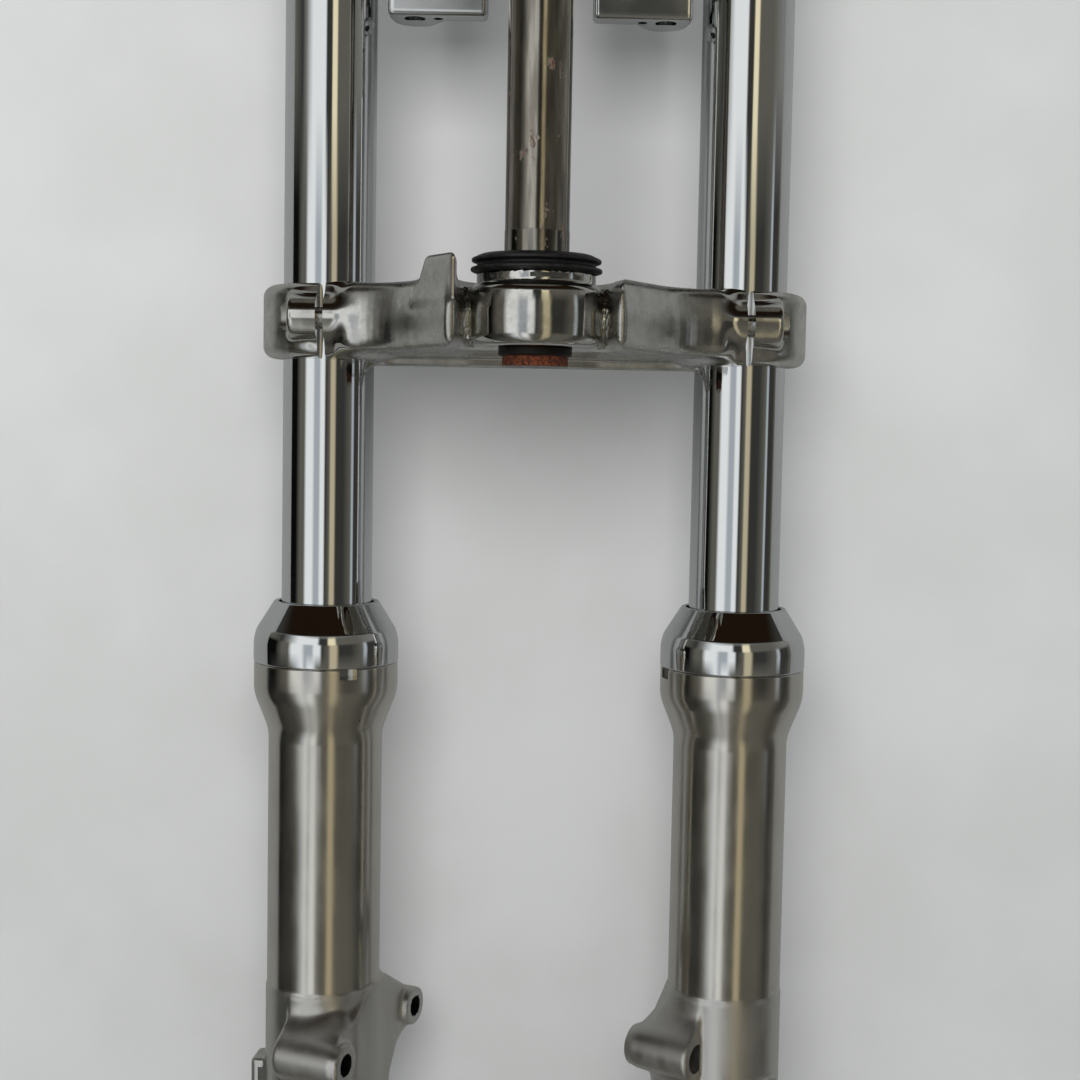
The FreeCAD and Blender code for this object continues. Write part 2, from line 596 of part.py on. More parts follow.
def make_upper_clamp():
    """Upper clamp with split rings, riser holes and threads for the hanging brackets."""
    rear = s.clamp_offset - 20
    front = s.clamp_offset + 20
    low = s.upper_clamp_level
    arms = plate("upper_arms", [
        (half_spacing, front), (half_spacing, rear), (s.upper_hub_dia / 2 - 2, length(-12)),
        (-(s.upper_hub_dia / 2 - 2), length(-12)), (-half_spacing, rear), (-half_spacing, front),
    ], low, s.upper_clamp_height)
    arms = rounded("upper_arms_soft", arms, (3, lambda edge: abs(
        edge.Vertexes[0].Point.z - edge.Vertexes[-1].Point.z) < 0.01 and edge.BoundBox.XLength > 20))
    hub = rod("upper_hub", s.upper_hub_dia, s.upper_clamp_height, 0, 0, low)
    hub = rounded("upper_hub_soft", hub, (3, level_ring(low, s.upper_hub_dia / 2)),
                  (3, level_ring(upper_top, s.upper_hub_dia / 2)))
    rings = []
    for side, sign in SIDES:
        ring = rod("upper_ring", s.ring_dia, s.upper_clamp_height, half_spacing * sign, s.clamp_offset, low)
        rings.append(rounded("upper_ring_soft", ring,
                             (4, level_ring(low, s.ring_dia / 2)),
                             (4, level_ring(upper_top, s.ring_dia / 2))))
    level = low + s.upper_clamp_height / 2
    whole = joined("upper_blank", arms, hub, *rings, *pinch_bosses("upper", level))
    tools = pinch_tools("upper", level, 20)
    tools.append(rod("upper_stem_hole", s.stem_thread_dia + s.clamp_fit * 2, 40, 0, 0, low - 8))
    for side, sign in SIDES:
        tools.append(rod("riser_hole", s.riser_hole_dia, 40, s.riser_spacing / 2 * sign, s.riser_ahead, low - 8))
        tools.append(rod("bracket_thread", s.bracket_screw_dia, s.bracket_screw_grip + 6,
                         s.bracket_hole_x * sign, s.bracket_near + s.bracket_thick / 2 + 1.5, low - 5))
    node("upper_clamp", less("upper_clamp", whole, *tools))
    pinch_bolts("upper_pinch_bolts", level)


def make_brackets():
    """A chrome bracket under each side of the upper clamp, hung on one long screw."""
    near, far = s.bracket_near, s.bracket_near + s.bracket_thick
    lobe_far = near + s.bracket_foot_depth
    hole_y = near + s.bracket_thick / 2 + 1.5
    low, high = s.bracket_level, s.upper_clamp_level
    screws = []
    for side, sign in SIDES:
        foot_plan = [
            (s.bracket_inner * sign, near), (s.bracket_outer * sign, near),
            (s.bracket_outer * sign, lobe_far), ((s.bracket_outer - 16) * sign, lobe_far),
            ((s.bracket_outer - 25) * sign, far), (s.bracket_inner * sign, far),
        ]
        foot = plate("bracket_foot", foot_plan, low, s.bracket_foot_height)
        foot = rounded("bracket_foot_soft", foot,
                       (10, upright_at(s.bracket_outer * sign, lobe_far)),
                       (7, upright_at((s.bracket_outer - 16) * sign, lobe_far)),
                       (7, upright_at((s.bracket_outer - 25) * sign, far)))
        ends = sorted((s.bracket_inner * sign, s.bracket_outer * sign), key=float)
        upright = block("bracket_upright", ends, (near, far), (low + s.bracket_foot_height - 1, high))
        whole = joined("bracket_blank", foot, upright)
        x = s.bracket_hole_x * sign
        head_depth = 8
        recess = rod("bracket_recess", s.bracket_hole_dia, head_depth, x, hole_y, low)
        hole = rod("bracket_hole", s.bracket_screw_dia + s.bolt_clearance * 2, high - low + 2, x, hole_y, low - 1)
        pin = rod("bracket_pin_hole", s.bracket_pin_dia, 8, s.bracket_pin_x * sign, hole_y - 0.5, low)
        node(f"bracket_{side}", less("bracket", whole, recess, hole, pin))
        head_low = low + head_depth - 5
        head = rod("bracket_screw_head", s.bracket_hole_dia - s.bolt_clearance * 2, 5, x, hole_y, head_low)
        shank = rod("bracket_screw_shank", s.bracket_screw_dia, high - low - head_depth + s.bracket_screw_grip,
                    x, hole_y, low + head_depth)
        socket = hexagon("bracket_screw_socket", 4, 2.5, x, hole_y, head_low)
        screws.append(less("bracket_screw", joined("bracket_screw_blank", head, shank), socket))
    pair = new("Part::Compound", "bracket_screws")
    pair.Links = screws
    node("bracket_screws", pair)


def biarc(start, start_way, end, end_way):
    """Two arcs that leave one point and reach another along given directions."""
    chord = end - start
    ways = start_way + end_way
    spread = 2 * (1 - start_way.dot(end_way))
    lean = chord.dot(ways)
    reach = (-lean + math.sqrt(lean * lean + spread * chord.dot(chord))) / spread
    middle = (start + start_way * reach + end - end_way * reach) * 0.5
    return [arc_leaving(start, start_way, middle), arc_leaving(end, -end_way, middle)]


def arc_leaving(start, way, end):
    """The arc from a point along a direction to another point."""
    chord = end - start
    side = chord - way * chord.dot(way)
    side.normalize()
    radius = chord.dot(chord) / (2 * chord.dot(side))
    centre = start + side * radius
    bow = (start - centre) + (end - centre)
    bow.normalize()
    return Part.Arc(start, centre + bow * radius, end).toShape()


def coil_path(radius, low, high, turns, samples):
    """Points of a coil's centre line and its direction at each."""
    climb = (high - low) / turns
    slope = climb / (2 * math.pi)
    path = []
    for index in range(samples + 1):
        angle = 2 * math.pi * turns * index / samples
        spot = Vector(radius * math.cos(angle), radius * math.sin(angle), low + slope * angle)
        way = Vector(-radius * math.sin(angle), radius * math.cos(angle), slope)
        way.normalize()
        path.append((spot, way))
    return path


def least_coil_gap(path, wire, steps_per_turn):
    """Smallest gap between turns of a coil, measured on points of its centre line."""
    spots = [spot for spot, way in path]
    least = math.inf
    for first, here in enumerate(spots):
        for there in spots[first + steps_per_turn // 2:]:
            least = min(least, here.distanceToPoint(there))
    return least - float(wire)


def coil_spring(name, mean_radius, wire, low, high, turns):
    """A round-wire spring as one unbroken tube between two seats."""
    wire, turns = float(wire), int(float(turns))
    base, top = float(low) + wire / 2, float(high) - wire / 2
    path = coil_path(float(mean_radius), base, top, turns, turns * 2)
    edges = []
    for (start, start_way), (end, end_way) in zip(path, path[1:]):
        edges += biarc(start, start_way, end, end_way)
    spine = Part.Wire(Part.__sortEdges__(edges))
    first_spot, first_way = path[0]
    section = Part.Wire([Part.Circle(first_spot, first_way, wire / 2).toShape()])
    shell = Part.BRepOffsetAPI.MakePipeShell(spine)
    shell.add(section)
    shell.build()
    shell.makeSolid()
    spring = new("Part::Feature", name)
    spring.Shape = Part.Solid(shell.shape())
    fine = coil_path(float(mean_radius), base, top, turns, turns * 48)
    print(f"{name}: {turns} turns, least gap {least_coil_gap(fine, wire, 48):.2f} mm, "
          f"volume {spring.Shape.Volume:.0f}, section by length {math.pi * wire ** 2 / 4 * spine.Length:.0f}")
    return spring


def make_tube_side(side, sign):
    """Fork tube of one side with its cap, spacer, springs, bush and end ring."""
    x, y = half_spacing * sign, s.clamp_offset
    bush_groove = tube_radius - 0.35
    bush_low = tube_bottom + 2
    bush_high = bush_low + s.bush_length
    node(f"fork_tube_{side}", turned("fork_tube", [
        (bore_radius, tube_bottom), (bush_groove + 0.25, tube_bottom), (bush_groove + 0.25, bush_low),
        (bush_groove, bush_low), (bush_groove, bush_high), (tube_radius, bush_high),
        (tube_radius, tube_top - 0.8), (tube_radius - 0.8, tube_top), (bore_radius, tube_top),
    ]), x, y)
    bush_outer = s.leg_bore_dia / 2 - s.running_fit
    node(f"tube_bush_{side}", turned("tube_bush", [
        (bush_groove, bush_low), (bush_outer - 0.4, bush_low), (bush_outer, bush_low + 0.6),
        (bush_outer, bush_high - 0.6), (bush_outer - 0.4, bush_high), (bush_groove, bush_high),
    ]), x, y)
    ring_top = tube_bottom + s.tube_end_ring_height
    ring_bore = s.tube_end_ring_bore / 2
    node(f"tube_end_ring_{side}", turned("tube_end_ring", [
        (ring_bore + 1, tube_bottom), (bore_radius, tube_bottom), (bore_radius, ring_top),
        (ring_bore, ring_top), (ring_bore, tube_bottom + 1),
    ]), x, y)
    rod_head_low = floor_level + s.rod_length - s.rod_head_height
    rebound_mean = bore_radius - s.spring_gap - s.rebound_spring_wire / 2
    node(f"rebound_spring_{side}", coil_spring(
        f"rebound_spring_{side}", rebound_mean, s.rebound_spring_wire, ring_top, rod_head_low - s.seat_gap,
        s.rebound_spring_turns), x, y)
    spring_low = floor_level + s.rod_length + s.seat_gap
    spring_high = spring_low + s.fork_spring_length
    spring_mean = bore_radius - s.spring_gap - s.fork_spring_wire / 2
    node(f"fork_spring_{side}", coil_spring(
        f"fork_spring_{side}", spring_mean, s.fork_spring_wire, spring_low, spring_high,
        s.fork_spring_turns), x, y)
    washer_low = spring_high + s.seat_gap
    washer_high = washer_low + s.spring_washer_thick
    spacer_outer = bore_radius - 1
    node(f"spring_washer_{side}", turned("spring_washer", [
        (spring_mean - 3, washer_low), (bore_radius - 0.3, washer_low),
        (bore_radius - 0.3, washer_high), (spring_mean - 3, washer_high),
    ]), x, y)
    cap_low = tube_top - s.cap_plug_length
    node(f"preload_spacer_{side}", turned("preload_spacer", [
        (spacer_outer - s.spacer_wall, washer_high), (spacer_outer, washer_high),
        (spacer_outer, cap_low), (spacer_outer - s.spacer_wall, cap_low),
    ]), x, y)
    groove_low = cap_low + 5
    groove_high = groove_low + s.cap_ring_section + 0.2
    groove_floor = bore_radius - s.cap_ring_section
    plug = bore_radius - s.clamp_fit
    flange = tube_radius
    flange_top = tube_top + s.cap_flange_height
    cap = turned("cap_blank", [
        (0, cap_low), (plug - 1, cap_low), (plug, cap_low + 1), (plug, groove_low), (groove_floor, groove_low),
        (groove_floor, groove_high), (plug, groove_high), (plug, tube_top), (flange, tube_top),
        (flange, flange_top - 0.8), (flange - 0.8, flange_top), (0, flange_top),
    ])
    grip = hexagon("cap_hex", s.cap_hex_flats, s.cap_hex_height + 1, 0, 0, flange_top - 1)
    node(f"fork_cap_{side}", joined("fork_cap", cap, grip), x, y)
    seal = new("Part::Torus", "cap_ring")
    bind(seal, "Radius1", bore_radius - s.cap_ring_section / 2)
    bind(seal, "Radius2", s.cap_ring_section / 2)
    bind(seal, "Placement.Base.z", groove_low + s.cap_ring_section / 2 + 0.1)
    ring = new("Part::Compound", f"cap_ring_{side}")
    ring.Links = [seal]
    node(f"cap_ring_{side}", ring, x, y)


def make_leg_casting(side, sign, turn):
    """Lower leg casting of one side. Inward is -sign along its own X axis."""
    x, y = half_spacing * sign, s.clamp_offset
    inward = -sign

    def across(size, run):
        """Start and run along X for a bar that begins at an inward distance and runs outward."""
        start = length(size) * inward
        return start - length(run) if inward > 0 else start

    radius = s.leg_dia / 2
    head = s.leg_head_dia / 2
    taper_high = rim - s.leg_head_length
    taper_low = taper_high - s.leg_taper_length
    bottom = rim - s.leg_length
    body = turned("leg_body", [
        (0, bottom), (radius - 5, bottom), (radius, bottom + 5), (radius, taper_low), (head, taper_high),
        (head, rim), (0, rim),
    ])
    body = rounded("leg_body_soft", body, (14, level_ring(taper_low, radius)), (14, level_ring(taper_high, head)),
                   (0.6, level_ring(rim, head)))
    cast_top = rim - s.cast_top_drop
    rear_z = rim - s.rear_lug_drop
    front_z = rim - s.front_lug_drop
    back = radius + s.rear_web_step
    web_plan = [
        (-back, cast_top), (length(4), cast_top), (length(4), axle_level), (-radius, axle_level),
        (-radius, rear_z - 40), (-back, rear_z - 12),
    ]
    web_run = s.wall_inward - s.lug_inward + s.rear_lug_length
    web = plate("rear_web", web_plan, across(s.wall_inward, web_run), web_run, "YZ_Plane")

    def top_rear(edge):
        return edge.BoundBox.ZMin > float(cast_top) - 0.01 and edge.BoundBox.YMax < -float(back) + 0.01

    web = rounded("rear_web_soft", web, (6, top_rear))
    wing_plan = [
        (length(-8), cast_top), (length(12), cast_top + 4), (s.front_lug_ahead, front_z + s.front_lug_dia / 2),
        (s.front_lug_ahead, front_z - s.front_lug_dia / 2), (s.front_lug_ahead - 11, front_z - 13),
        (s.front_lug_ahead - 18, front_z - 26), (length(14), axle_level), (length(-8), axle_level),
    ]
    wing_run = s.front_lug_length - (s.lug_inward - s.wall_inward)
    wing_start = across(s.wall_inward, wing_run + 6)
    wing = plate("wing", wing_plan, wing_start, wing_run + 6, "YZ_Plane")
    rear_lug = rod("rear_lug", s.rear_lug_dia, s.rear_lug_length,
                   across(s.lug_inward, s.rear_lug_length), -s.rear_lug_back, rear_z, "X")
    outer_end = (s.lug_inward - s.rear_lug_length) * inward

    def lug_outer_end(edge):
        return isinstance(edge.Curve, Part.Circle) and abs(edge.Curve.Center.x - float(outer_end)) < 0.01

    rear_lug = rounded("rear_lug_soft", rear_lug, (2.2, lug_outer_end))
    front_lug = rod("front_lug", s.front_lug_dia, s.front_lug_length,
                    across(s.lug_inward, s.front_lug_length), s.front_lug_ahead, front_z, "X")
    axle_boss = rod("axle_boss", s.axle_boss_dia, radius + s.lug_inward,
                    across(s.lug_inward, radius + s.lug_inward), 0, axle_level, "X")
    axle_boss = rounded("axle_boss_soft", axle_boss, (2, lambda edge: isinstance(edge.Curve, Part.Circle)))
    drain_z = floor_level + s.drain_height
    drain_seat = radius + 1.2
    drain_pad = rod("drain_pad", s.drain_head_dia + 4, 6, across(-drain_seat + 6, 6), 0, drain_z, "X")
    guide_low = rim - s.guide_drop - s.guide_height
    guide = block("hose_guide", (-s.guide_reach, -(radius - 2)) if inward > 0 else (radius - 2, s.guide_reach),
                  (-7, 7), (guide_low, guide_low + s.guide_height))
    guide = rounded("hose_guide_soft", guide, (2.5, lambda edge: edge.BoundBox.YLength > 10
                                               and abs(edge.BoundBox.XMin) > float(radius)))
    eye_limits = (-(radius + 2.9), -(radius - 2)) if inward > 0 else (radius - 2, radius + 2.9)
    eye = block("hose_guide_eye", eye_limits, (-8, 8), (guide_low + 4, guide_low + s.guide_height - 4))
    guide = less("hose_guide_open", guide, eye)
    guide.Placement.Rotation = Rotation(Vector(0, 0, 1), float(s.guide_turn) * inward)
    pieces = [body, web, wing, rear_lug, front_lug, axle_boss, drain_pad, guide]
    tools = leg_cuts(side, inward, across, rear_z, front_z, drain_z, drain_seat)
    if side == "right":
        ear = block("clamp_ear", (radius - 15, radius) if inward < 0 else (-radius, -(radius - 15)),
                    (-19, 19), (axle_level - s.axle_boss_dia / 2, axle_level - 8))
        pieces.append(rounded("clamp_ear_soft", ear, (3, lambda edge: edge.BoundBox.XLength > 10)))
    casting = less("leg_casting", joined("leg_blank", *pieces), *tools)
    node(f"lower_leg_{side}", casting, x, y, turn)


def leg_cuts(side, inward, across, rear_z, front_z, drain_z, drain_seat):
    """Bores, holes, notch and clamp slot of a lower leg."""
    seal_low = rim - s.seal_bore_depth
    bush_low = seal_low - s.bush_length
    bore = turned("leg_bores", [
        (0, floor_level), (s.leg_bore_dia / 2, floor_level), (s.leg_bore_dia / 2, bush_low),
        (s.bush_bore_dia / 2, bush_low), (s.bush_bore_dia / 2, seal_low), (s.seal_bore_dia / 2, seal_low),
        (s.seal_bore_dia / 2, snap_ring_level() - s.snap_ring_wire / 2),
        (s.seal_bore_dia / 2 + 0.8, snap_ring_level() - s.snap_ring_wire / 2),
        (s.seal_bore_dia / 2 + 0.8, snap_ring_level() + s.snap_ring_wire / 2),
        (s.seal_bore_dia / 2, snap_ring_level() + s.snap_ring_wire / 2),
        (s.seal_bore_dia / 2, rim + 1), (0, rim + 1),
    ])
    below = rim - s.leg_length - 10
    tools = [
        bore,
        rod("damper_bolt_hole", s.damper_bolt_dia + s.bolt_clearance * 2, s.leg_floor + 2, 0, 0, bolt_seat - 1),
        rod("damper_access", s.damper_head_dia + 3, bolt_seat - below, 0, 0, below),
        rod("axle_bore", s.axle_bore_dia, 80, -40, 0, axle_level, "X"),
        rod("axle_relief", s.axle_bore_dia + s.axle_relief_depth * 2, s.axle_relief_length,
            -s.axle_relief_length / 2, 0, axle_level, "X"),
        rod("rear_lug_hole", s.rear_hole_dia, 60, across(s.lug_inward + 2, 60), -s.rear_lug_back, rear_z, "X"),
        rod("rear_lug_recess", s.rear_hole_recess_dia, s.rear_hole_recess + 30,
            across(s.lug_inward - s.rear_lug_length + s.rear_hole_recess, s.rear_hole_recess + 30),
            -s.rear_lug_back, rear_z, "X"),
        rod("front_lug_hole", s.front_hole_dia, 60, across(s.lug_inward + 2, 60), s.front_lug_ahead, front_z, "X"),
        rod("drain_hole", s.drain_dia, 12, across(-s.leg_bore_dia / 2 + 3, 12), 0, drain_z, "X"),
    ]
    half = s.pry_notch_width / 2
    notch = block("pry_notch", (s.seal_bore_dia / 2 - 2, s.leg_head_dia / 2 + 2), (-half, half),
                  (rim - s.pry_notch_depth, rim + 1))
    heading = 180 + float(s.pry_notch_turn) if inward < 0 else -float(s.pry_notch_turn)
    notch_way = Rotation(Vector(0, 0, 1), heading)
    holder = new("Part::Compound", "pry_notch_turned")
    holder.Links = [notch]
    holder.Placement.Rotation = notch_way
    tools.append(holder)
    if side == "right":
        outer = s.leg_dia / 2
        slot = (outer - 14, outer + 3) if inward < 0 else (-outer - 3, -(outer - 14))
        tools.append(block("axle_slot", slot, (-s.axle_slot_width / 2, s.axle_slot_width / 2),
                           (below, axle_level)))
        tools.append(rod("axle_pinch_hole", s.pinch_bolt_dia + s.clamp_fit * 2, 60,
                         axle_pinch_x(inward), -30, axle_pinch_level(), "Y"))
        tools.append(rod("axle_pinch_recess", s.pinch_head_dia + s.bolt_clearance * 2, 25,
                         axle_pinch_x(inward), -19 + s.pinch_head_height - 25, axle_pinch_level(), "Y"))
    return tools


def snap_ring_level():
    """Middle of the retaining ring, on top of the oil seal."""
    seal_top = rim - s.seal_bore_depth + s.seal_washer_thick + s.oil_seal_height
    return seal_top + s.snap_ring_wire / 2


def axle_pinch_x(inward):
    """Where the axle's pinch bolt lies along the leg's own X axis."""
    return (s.leg_dia / 2 - 7.5) * -inward


def axle_pinch_level():
    """Level of the axle's pinch bolt."""
    return axle_level - s.axle_bore_dia / 2 - s.pinch_bolt_dia / 2 - 3


def make_leg_head(side, sign, turn):
    """Bush, seals, rings and dust cover in the head of a leg."""
    x, y = half_spacing * sign, s.clamp_offset
    seal_low = rim - s.seal_bore_depth
    sliding = tube_radius + s.running_fit
    seal_bore = s.seal_bore_dia / 2
    washer_top = seal_low + s.seal_washer_thick
    seal_top = washer_top + s.oil_seal_height
    bush_bore = s.bush_bore_dia / 2
    node(f"leg_bush_{side}", turned("leg_bush", [
        (sliding, seal_low - s.bush_length), (bush_bore, seal_low - s.bush_length),
        (bush_bore, seal_low), (sliding, seal_low),
    ]), x, y, turn)
    node(f"seal_washer_{side}", turned("seal_washer", [
        (tube_radius + 0.3, seal_low), (seal_bore - 0.1, seal_low),
        (seal_bore - 0.1, washer_top), (tube_radius + 0.3, washer_top),
    ]), x, y, turn)
    node(f"oil_seal_{side}", turned("oil_seal", [
        (sliding + 1.6, washer_top), (seal_bore, washer_top), (seal_bore, seal_top), (sliding + 1.2, seal_top),
        (sliding, seal_top - 2.0), (sliding, seal_top - 3.0), (sliding + 2.2, seal_top - 5.0),
        (sliding + 2.2, washer_top + 4.5), (sliding, washer_top + 3.0), (sliding, washer_top + 2.0),
    ]), x, y, turn)
    ring_mid = snap_ring_level()
    half_wire = s.snap_ring_wire / 2
    ring = turned("retaining_ring_blank", [
        (seal_bore - 1.2, ring_mid - half_wire), (seal_bore + 0.7, ring_mid - half_wire),
        (seal_bore + 0.7, ring_mid + half_wire), (seal_bore - 1.2, ring_mid + half_wire),
    ])
    gap = block("retaining_ring_gap", (0, seal_bore + 5), (-3, 3), (ring_mid - 3, ring_mid + 3))
    node(f"retaining_ring_{side}", less("retaining_ring", ring, gap), x, y, turn)
    cover_top = rim + s.cover_height
    skirt_low = rim - s.cover_skirt
    skirt_outer = seal_bore - s.clamp_fit
    skirt_inner = skirt_outer - s.cover_wall
    chamber_top = cover_top - 6.2
    cover = turned("dust_cover_blank", [
        (s.cover_mouth_dia / 2, cover_top), (s.cover_lip_dia / 2, cover_top),
        (s.cover_shoulder_dia / 2, cover_top - s.cover_shoulder_drop),
        (s.cover_dia / 2, rim + s.cover_straight), (s.cover_dia / 2, rim), (skirt_outer, rim),
        (skirt_outer, skirt_low), (skirt_inner, skirt_low), (skirt_inner, chamber_top),
        (s.cover_mouth_dia / 2, chamber_top),
    ])
    cover = rounded("dust_cover", cover,
                    (0.8, level_ring(cover_top, s.cover_lip_dia / 2)),
                    (2.5, level_ring(cover_top - s.cover_shoulder_drop, s.cover_shoulder_dia / 2)))
    node(f"dust_cover_{side}", cover, x, y, turn)
    wiper_top = chamber_top
    wiper_low = wiper_top - s.wiper_height
    node(f"dust_wiper_{side}", turned("dust_wiper", [
        (sliding + 1.4, wiper_low), (skirt_inner, wiper_low), (skirt_inner, wiper_top),
        (sliding + 0.6, wiper_top), (sliding, wiper_top - 1.2), (sliding, wiper_top - 2.0),
        (sliding + 1.4, wiper_top - 4.5),
    ]), x, y, turn)


def make_damper(side, sign, turn):
    """Damper rod, rings and bolts in the lower end of a leg."""
    x, y = half_spacing * sign, s.clamp_offset
    inward = -sign
    head_top = floor_level + s.rod_length
    head_low = head_top - s.rod_head_height
    head_radius = bore_radius - 0.4
    groove_low = head_low + s.rod_head_height / 2 - s.piston_ring_height / 2
    groove_high = groove_low + s.piston_ring_height + 0.2
    rod_radius = s.rod_dia / 2
    rod_bore = s.rod_bore_dia / 2
    thread = s.damper_bolt_dia / 2
    shaft = turned("damper_shaft", [
        (thread, floor_level), (rod_radius - 0.6, floor_level), (rod_radius, floor_level + 0.6),
        (rod_radius, head_low), (head_radius, head_low), (head_radius, groove_low), (head_radius - 1.8, groove_low),
        (head_radius - 1.8, groove_high), (head_radius, groove_high), (head_radius, head_top - 0.8),
        (head_radius - 0.8, head_top), (rod_bore, head_top), (rod_bore, floor_level + 24),
        (thread, floor_level + 22),
    ])
    ports = [rod("damper_port", 3, s.rod_dia + 4, -(s.rod_dia / 2 + 2), 0, level, "X")
             for level in (floor_level + 30, floor_level + 36, head_low - 16)]
    node(f"damper_rod_{side}", less("damper_rod", shaft, *ports), x, y, turn)
    node(f"piston_ring_{side}", turned("piston_ring", [
        (head_radius - 1.6, groove_low + 0.1), (bore_radius - s.running_fit, groove_low + 0.1),
        (bore_radius - s.running_fit, groove_high - 0.1), (head_radius - 1.6, groove_high - 0.1),
    ]), x, y, turn)
    lock_radius = s.tube_end_ring_bore / 2 - 0.2
    lock_top = floor_level + s.oil_lock_height
    node(f"oil_lock_piece_{side}", turned("oil_lock_piece", [
        (rod_radius + s.clamp_fit, floor_level), (lock_radius, floor_level), (lock_radius, lock_top - 6),
        (lock_radius - 1.5, lock_top), (rod_radius + s.clamp_fit, lock_top),
    ]), x, y, turn)
    washer_low = bolt_seat - s.damper_washer_thick
    node(f"damper_bolt_washer_{side}", turned("damper_bolt_washer", [
        (thread + 0.2, washer_low), (s.damper_head_dia / 2 + 0.6, washer_low),
        (s.damper_head_dia / 2 + 0.6, bolt_seat), (thread + 0.2, bolt_seat),
    ]), x, y, turn)
    head = rod("damper_bolt_head", s.damper_head_dia, 8, 0, 0, washer_low - 8)
    shank = rod("damper_bolt_shank", s.damper_bolt_dia, s.damper_bolt_reach, 0, 0, washer_low)
    socket = hexagon("damper_bolt_socket", 6, 4.5, 0, 0, washer_low - 8)
    node(f"damper_bolt_{side}", less("damper_bolt", joined("damper_bolt_blank", head, shank), socket), x, y, turn)
    drain_z = floor_level + s.drain_height
    seat = s.leg_dia / 2 + 1.2
    tip = s.leg_bore_dia / 2 + 0.3
    spacer = s.drain_washer_thick

    def outward(near, far):
        """Start along X of a bar between two outward distances."""
        return -length(far) if inward > 0 else length(near)

    washer = rod("drain_washer_disc", s.drain_head_dia + 1, spacer, outward(seat, seat + spacer), 0, drain_z, "X")
    hole = rod("drain_washer_hole", s.drain_dia + 0.4, spacer + 2, outward(seat - 1, seat + spacer + 1), 0, drain_z, "X")
    node(f"drain_washer_{side}", less("drain_washer", washer, hole), x, y, turn)
    head_near = seat + spacer
    screw_head = rod("drain_head", s.drain_head_dia, 4, outward(head_near, head_near + 4), 0, drain_z, "X")
    screw_shank = rod("drain_shank", s.drain_dia, head_near - tip, outward(tip, head_near), 0, drain_z, "X")
    slot_near = head_near + 2.6
    slot_limits = (-(slot_near + 3), -slot_near) if inward > 0 else (slot_near, slot_near + 3)
    slot = block("drain_slot", slot_limits, (-7, 7), (drain_z - 0.7, drain_z + 0.7))
    node(f"drain_screw_{side}", less("drain_screw", joined("drain_blank", screw_head, screw_shank), slot), x, y, turn)
    if side == "right":
        level = axle_pinch_level()
        along = axle_pinch_x(inward)
        head = rod("axle_pinch_head", s.pinch_head_dia, s.pinch_head_height - 0.5, along, -18.5, level, "Y")
        shank = rod("axle_pinch_shank", s.pinch_bolt_dia, 28, along, -19 + s.pinch_head_height, level, "Y")
        socket = hexagon("axle_pinch_socket", 6, 4, along, -18.5, level, "Y")
        node("axle_pinch_bolt", less("axle_pinch", joined("axle_pinch_blank", head, shank), socket), x, y, turn)


make_lower_clamp()
make_stem()
make_upper_clamp()
make_brackets()
for side, sign in SIDES:
    leg_turn = -(s.left_leg_turn if side == "left" else s.right_leg_turn)
    make_tube_side(side, sign)
    make_leg_casting(side, sign, leg_turn)
    make_leg_head(side, sign, leg_turn)
    make_damper(side, sign, leg_turn)
doc.recompute()

faults = [item.Label for item in doc.Objects if "Invalid" in item.State or "Error" in item.State]
if faults:
    raise RuntimeError(f"features that did not build: {faults}")
for name, piece in nodes.items():
    shape = piece.Shape
    if shape.isNull() or not shape.isValid():
        raise RuntimeError(f"{name} has no valid shape")
for name, piece in nodes.items():
    shape = piece.Shape
    box = shape.BoundBox
    print(f"{name}: {len(shape.Solids)} solid(s), {shape.Volume / 1000:.2f} cm3, "
          f"z {box.ZMin:.1f} to {box.ZMax:.1f}")
    shape.exportStep(f"parts/{name}.step")
print(len(nodes), "nodes")
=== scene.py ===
# %% [markdown]
# A motorcycle's telescopic front fork, seen from the rider's side.
# The CAD frame gives every size and every body that moves. This lesson dresses it:
# turned pieces become smooth lathes, forged and cast pieces become soft blended forms,
# and each finish is built from what the real surface is.

import json
import math

import bpy
import numpy as np
from mathutils import Matrix, Vector


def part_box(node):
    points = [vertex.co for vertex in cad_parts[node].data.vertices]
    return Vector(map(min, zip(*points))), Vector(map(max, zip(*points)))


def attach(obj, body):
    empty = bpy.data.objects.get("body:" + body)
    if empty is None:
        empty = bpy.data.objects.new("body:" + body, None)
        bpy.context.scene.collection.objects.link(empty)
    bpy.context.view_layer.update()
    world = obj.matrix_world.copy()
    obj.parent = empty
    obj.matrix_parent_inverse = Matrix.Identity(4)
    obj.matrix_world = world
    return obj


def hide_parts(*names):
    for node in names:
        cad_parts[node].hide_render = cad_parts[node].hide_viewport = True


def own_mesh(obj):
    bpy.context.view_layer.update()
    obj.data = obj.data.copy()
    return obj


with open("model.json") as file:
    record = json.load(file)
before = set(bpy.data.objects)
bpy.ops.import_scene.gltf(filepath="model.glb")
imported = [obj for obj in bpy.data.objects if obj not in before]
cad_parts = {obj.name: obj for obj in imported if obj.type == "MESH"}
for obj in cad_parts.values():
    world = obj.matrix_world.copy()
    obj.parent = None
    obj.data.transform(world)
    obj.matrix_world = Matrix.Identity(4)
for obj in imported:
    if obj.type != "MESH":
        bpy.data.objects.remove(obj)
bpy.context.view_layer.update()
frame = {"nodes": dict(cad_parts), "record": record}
MM = 0.001
SIDES = {"left": -1, "right": 1}
LEG_TURN = {"left": -23.5, "right": -35.0}
TUBE_X, TUBE_Y = 89.0, 62.0

# %% [markdown]
# The photograph was taken from about 0.65 m away, a little below the clamp and almost level.
# Its lens and place were worked out from the tubes, which are parallel and of a known size.

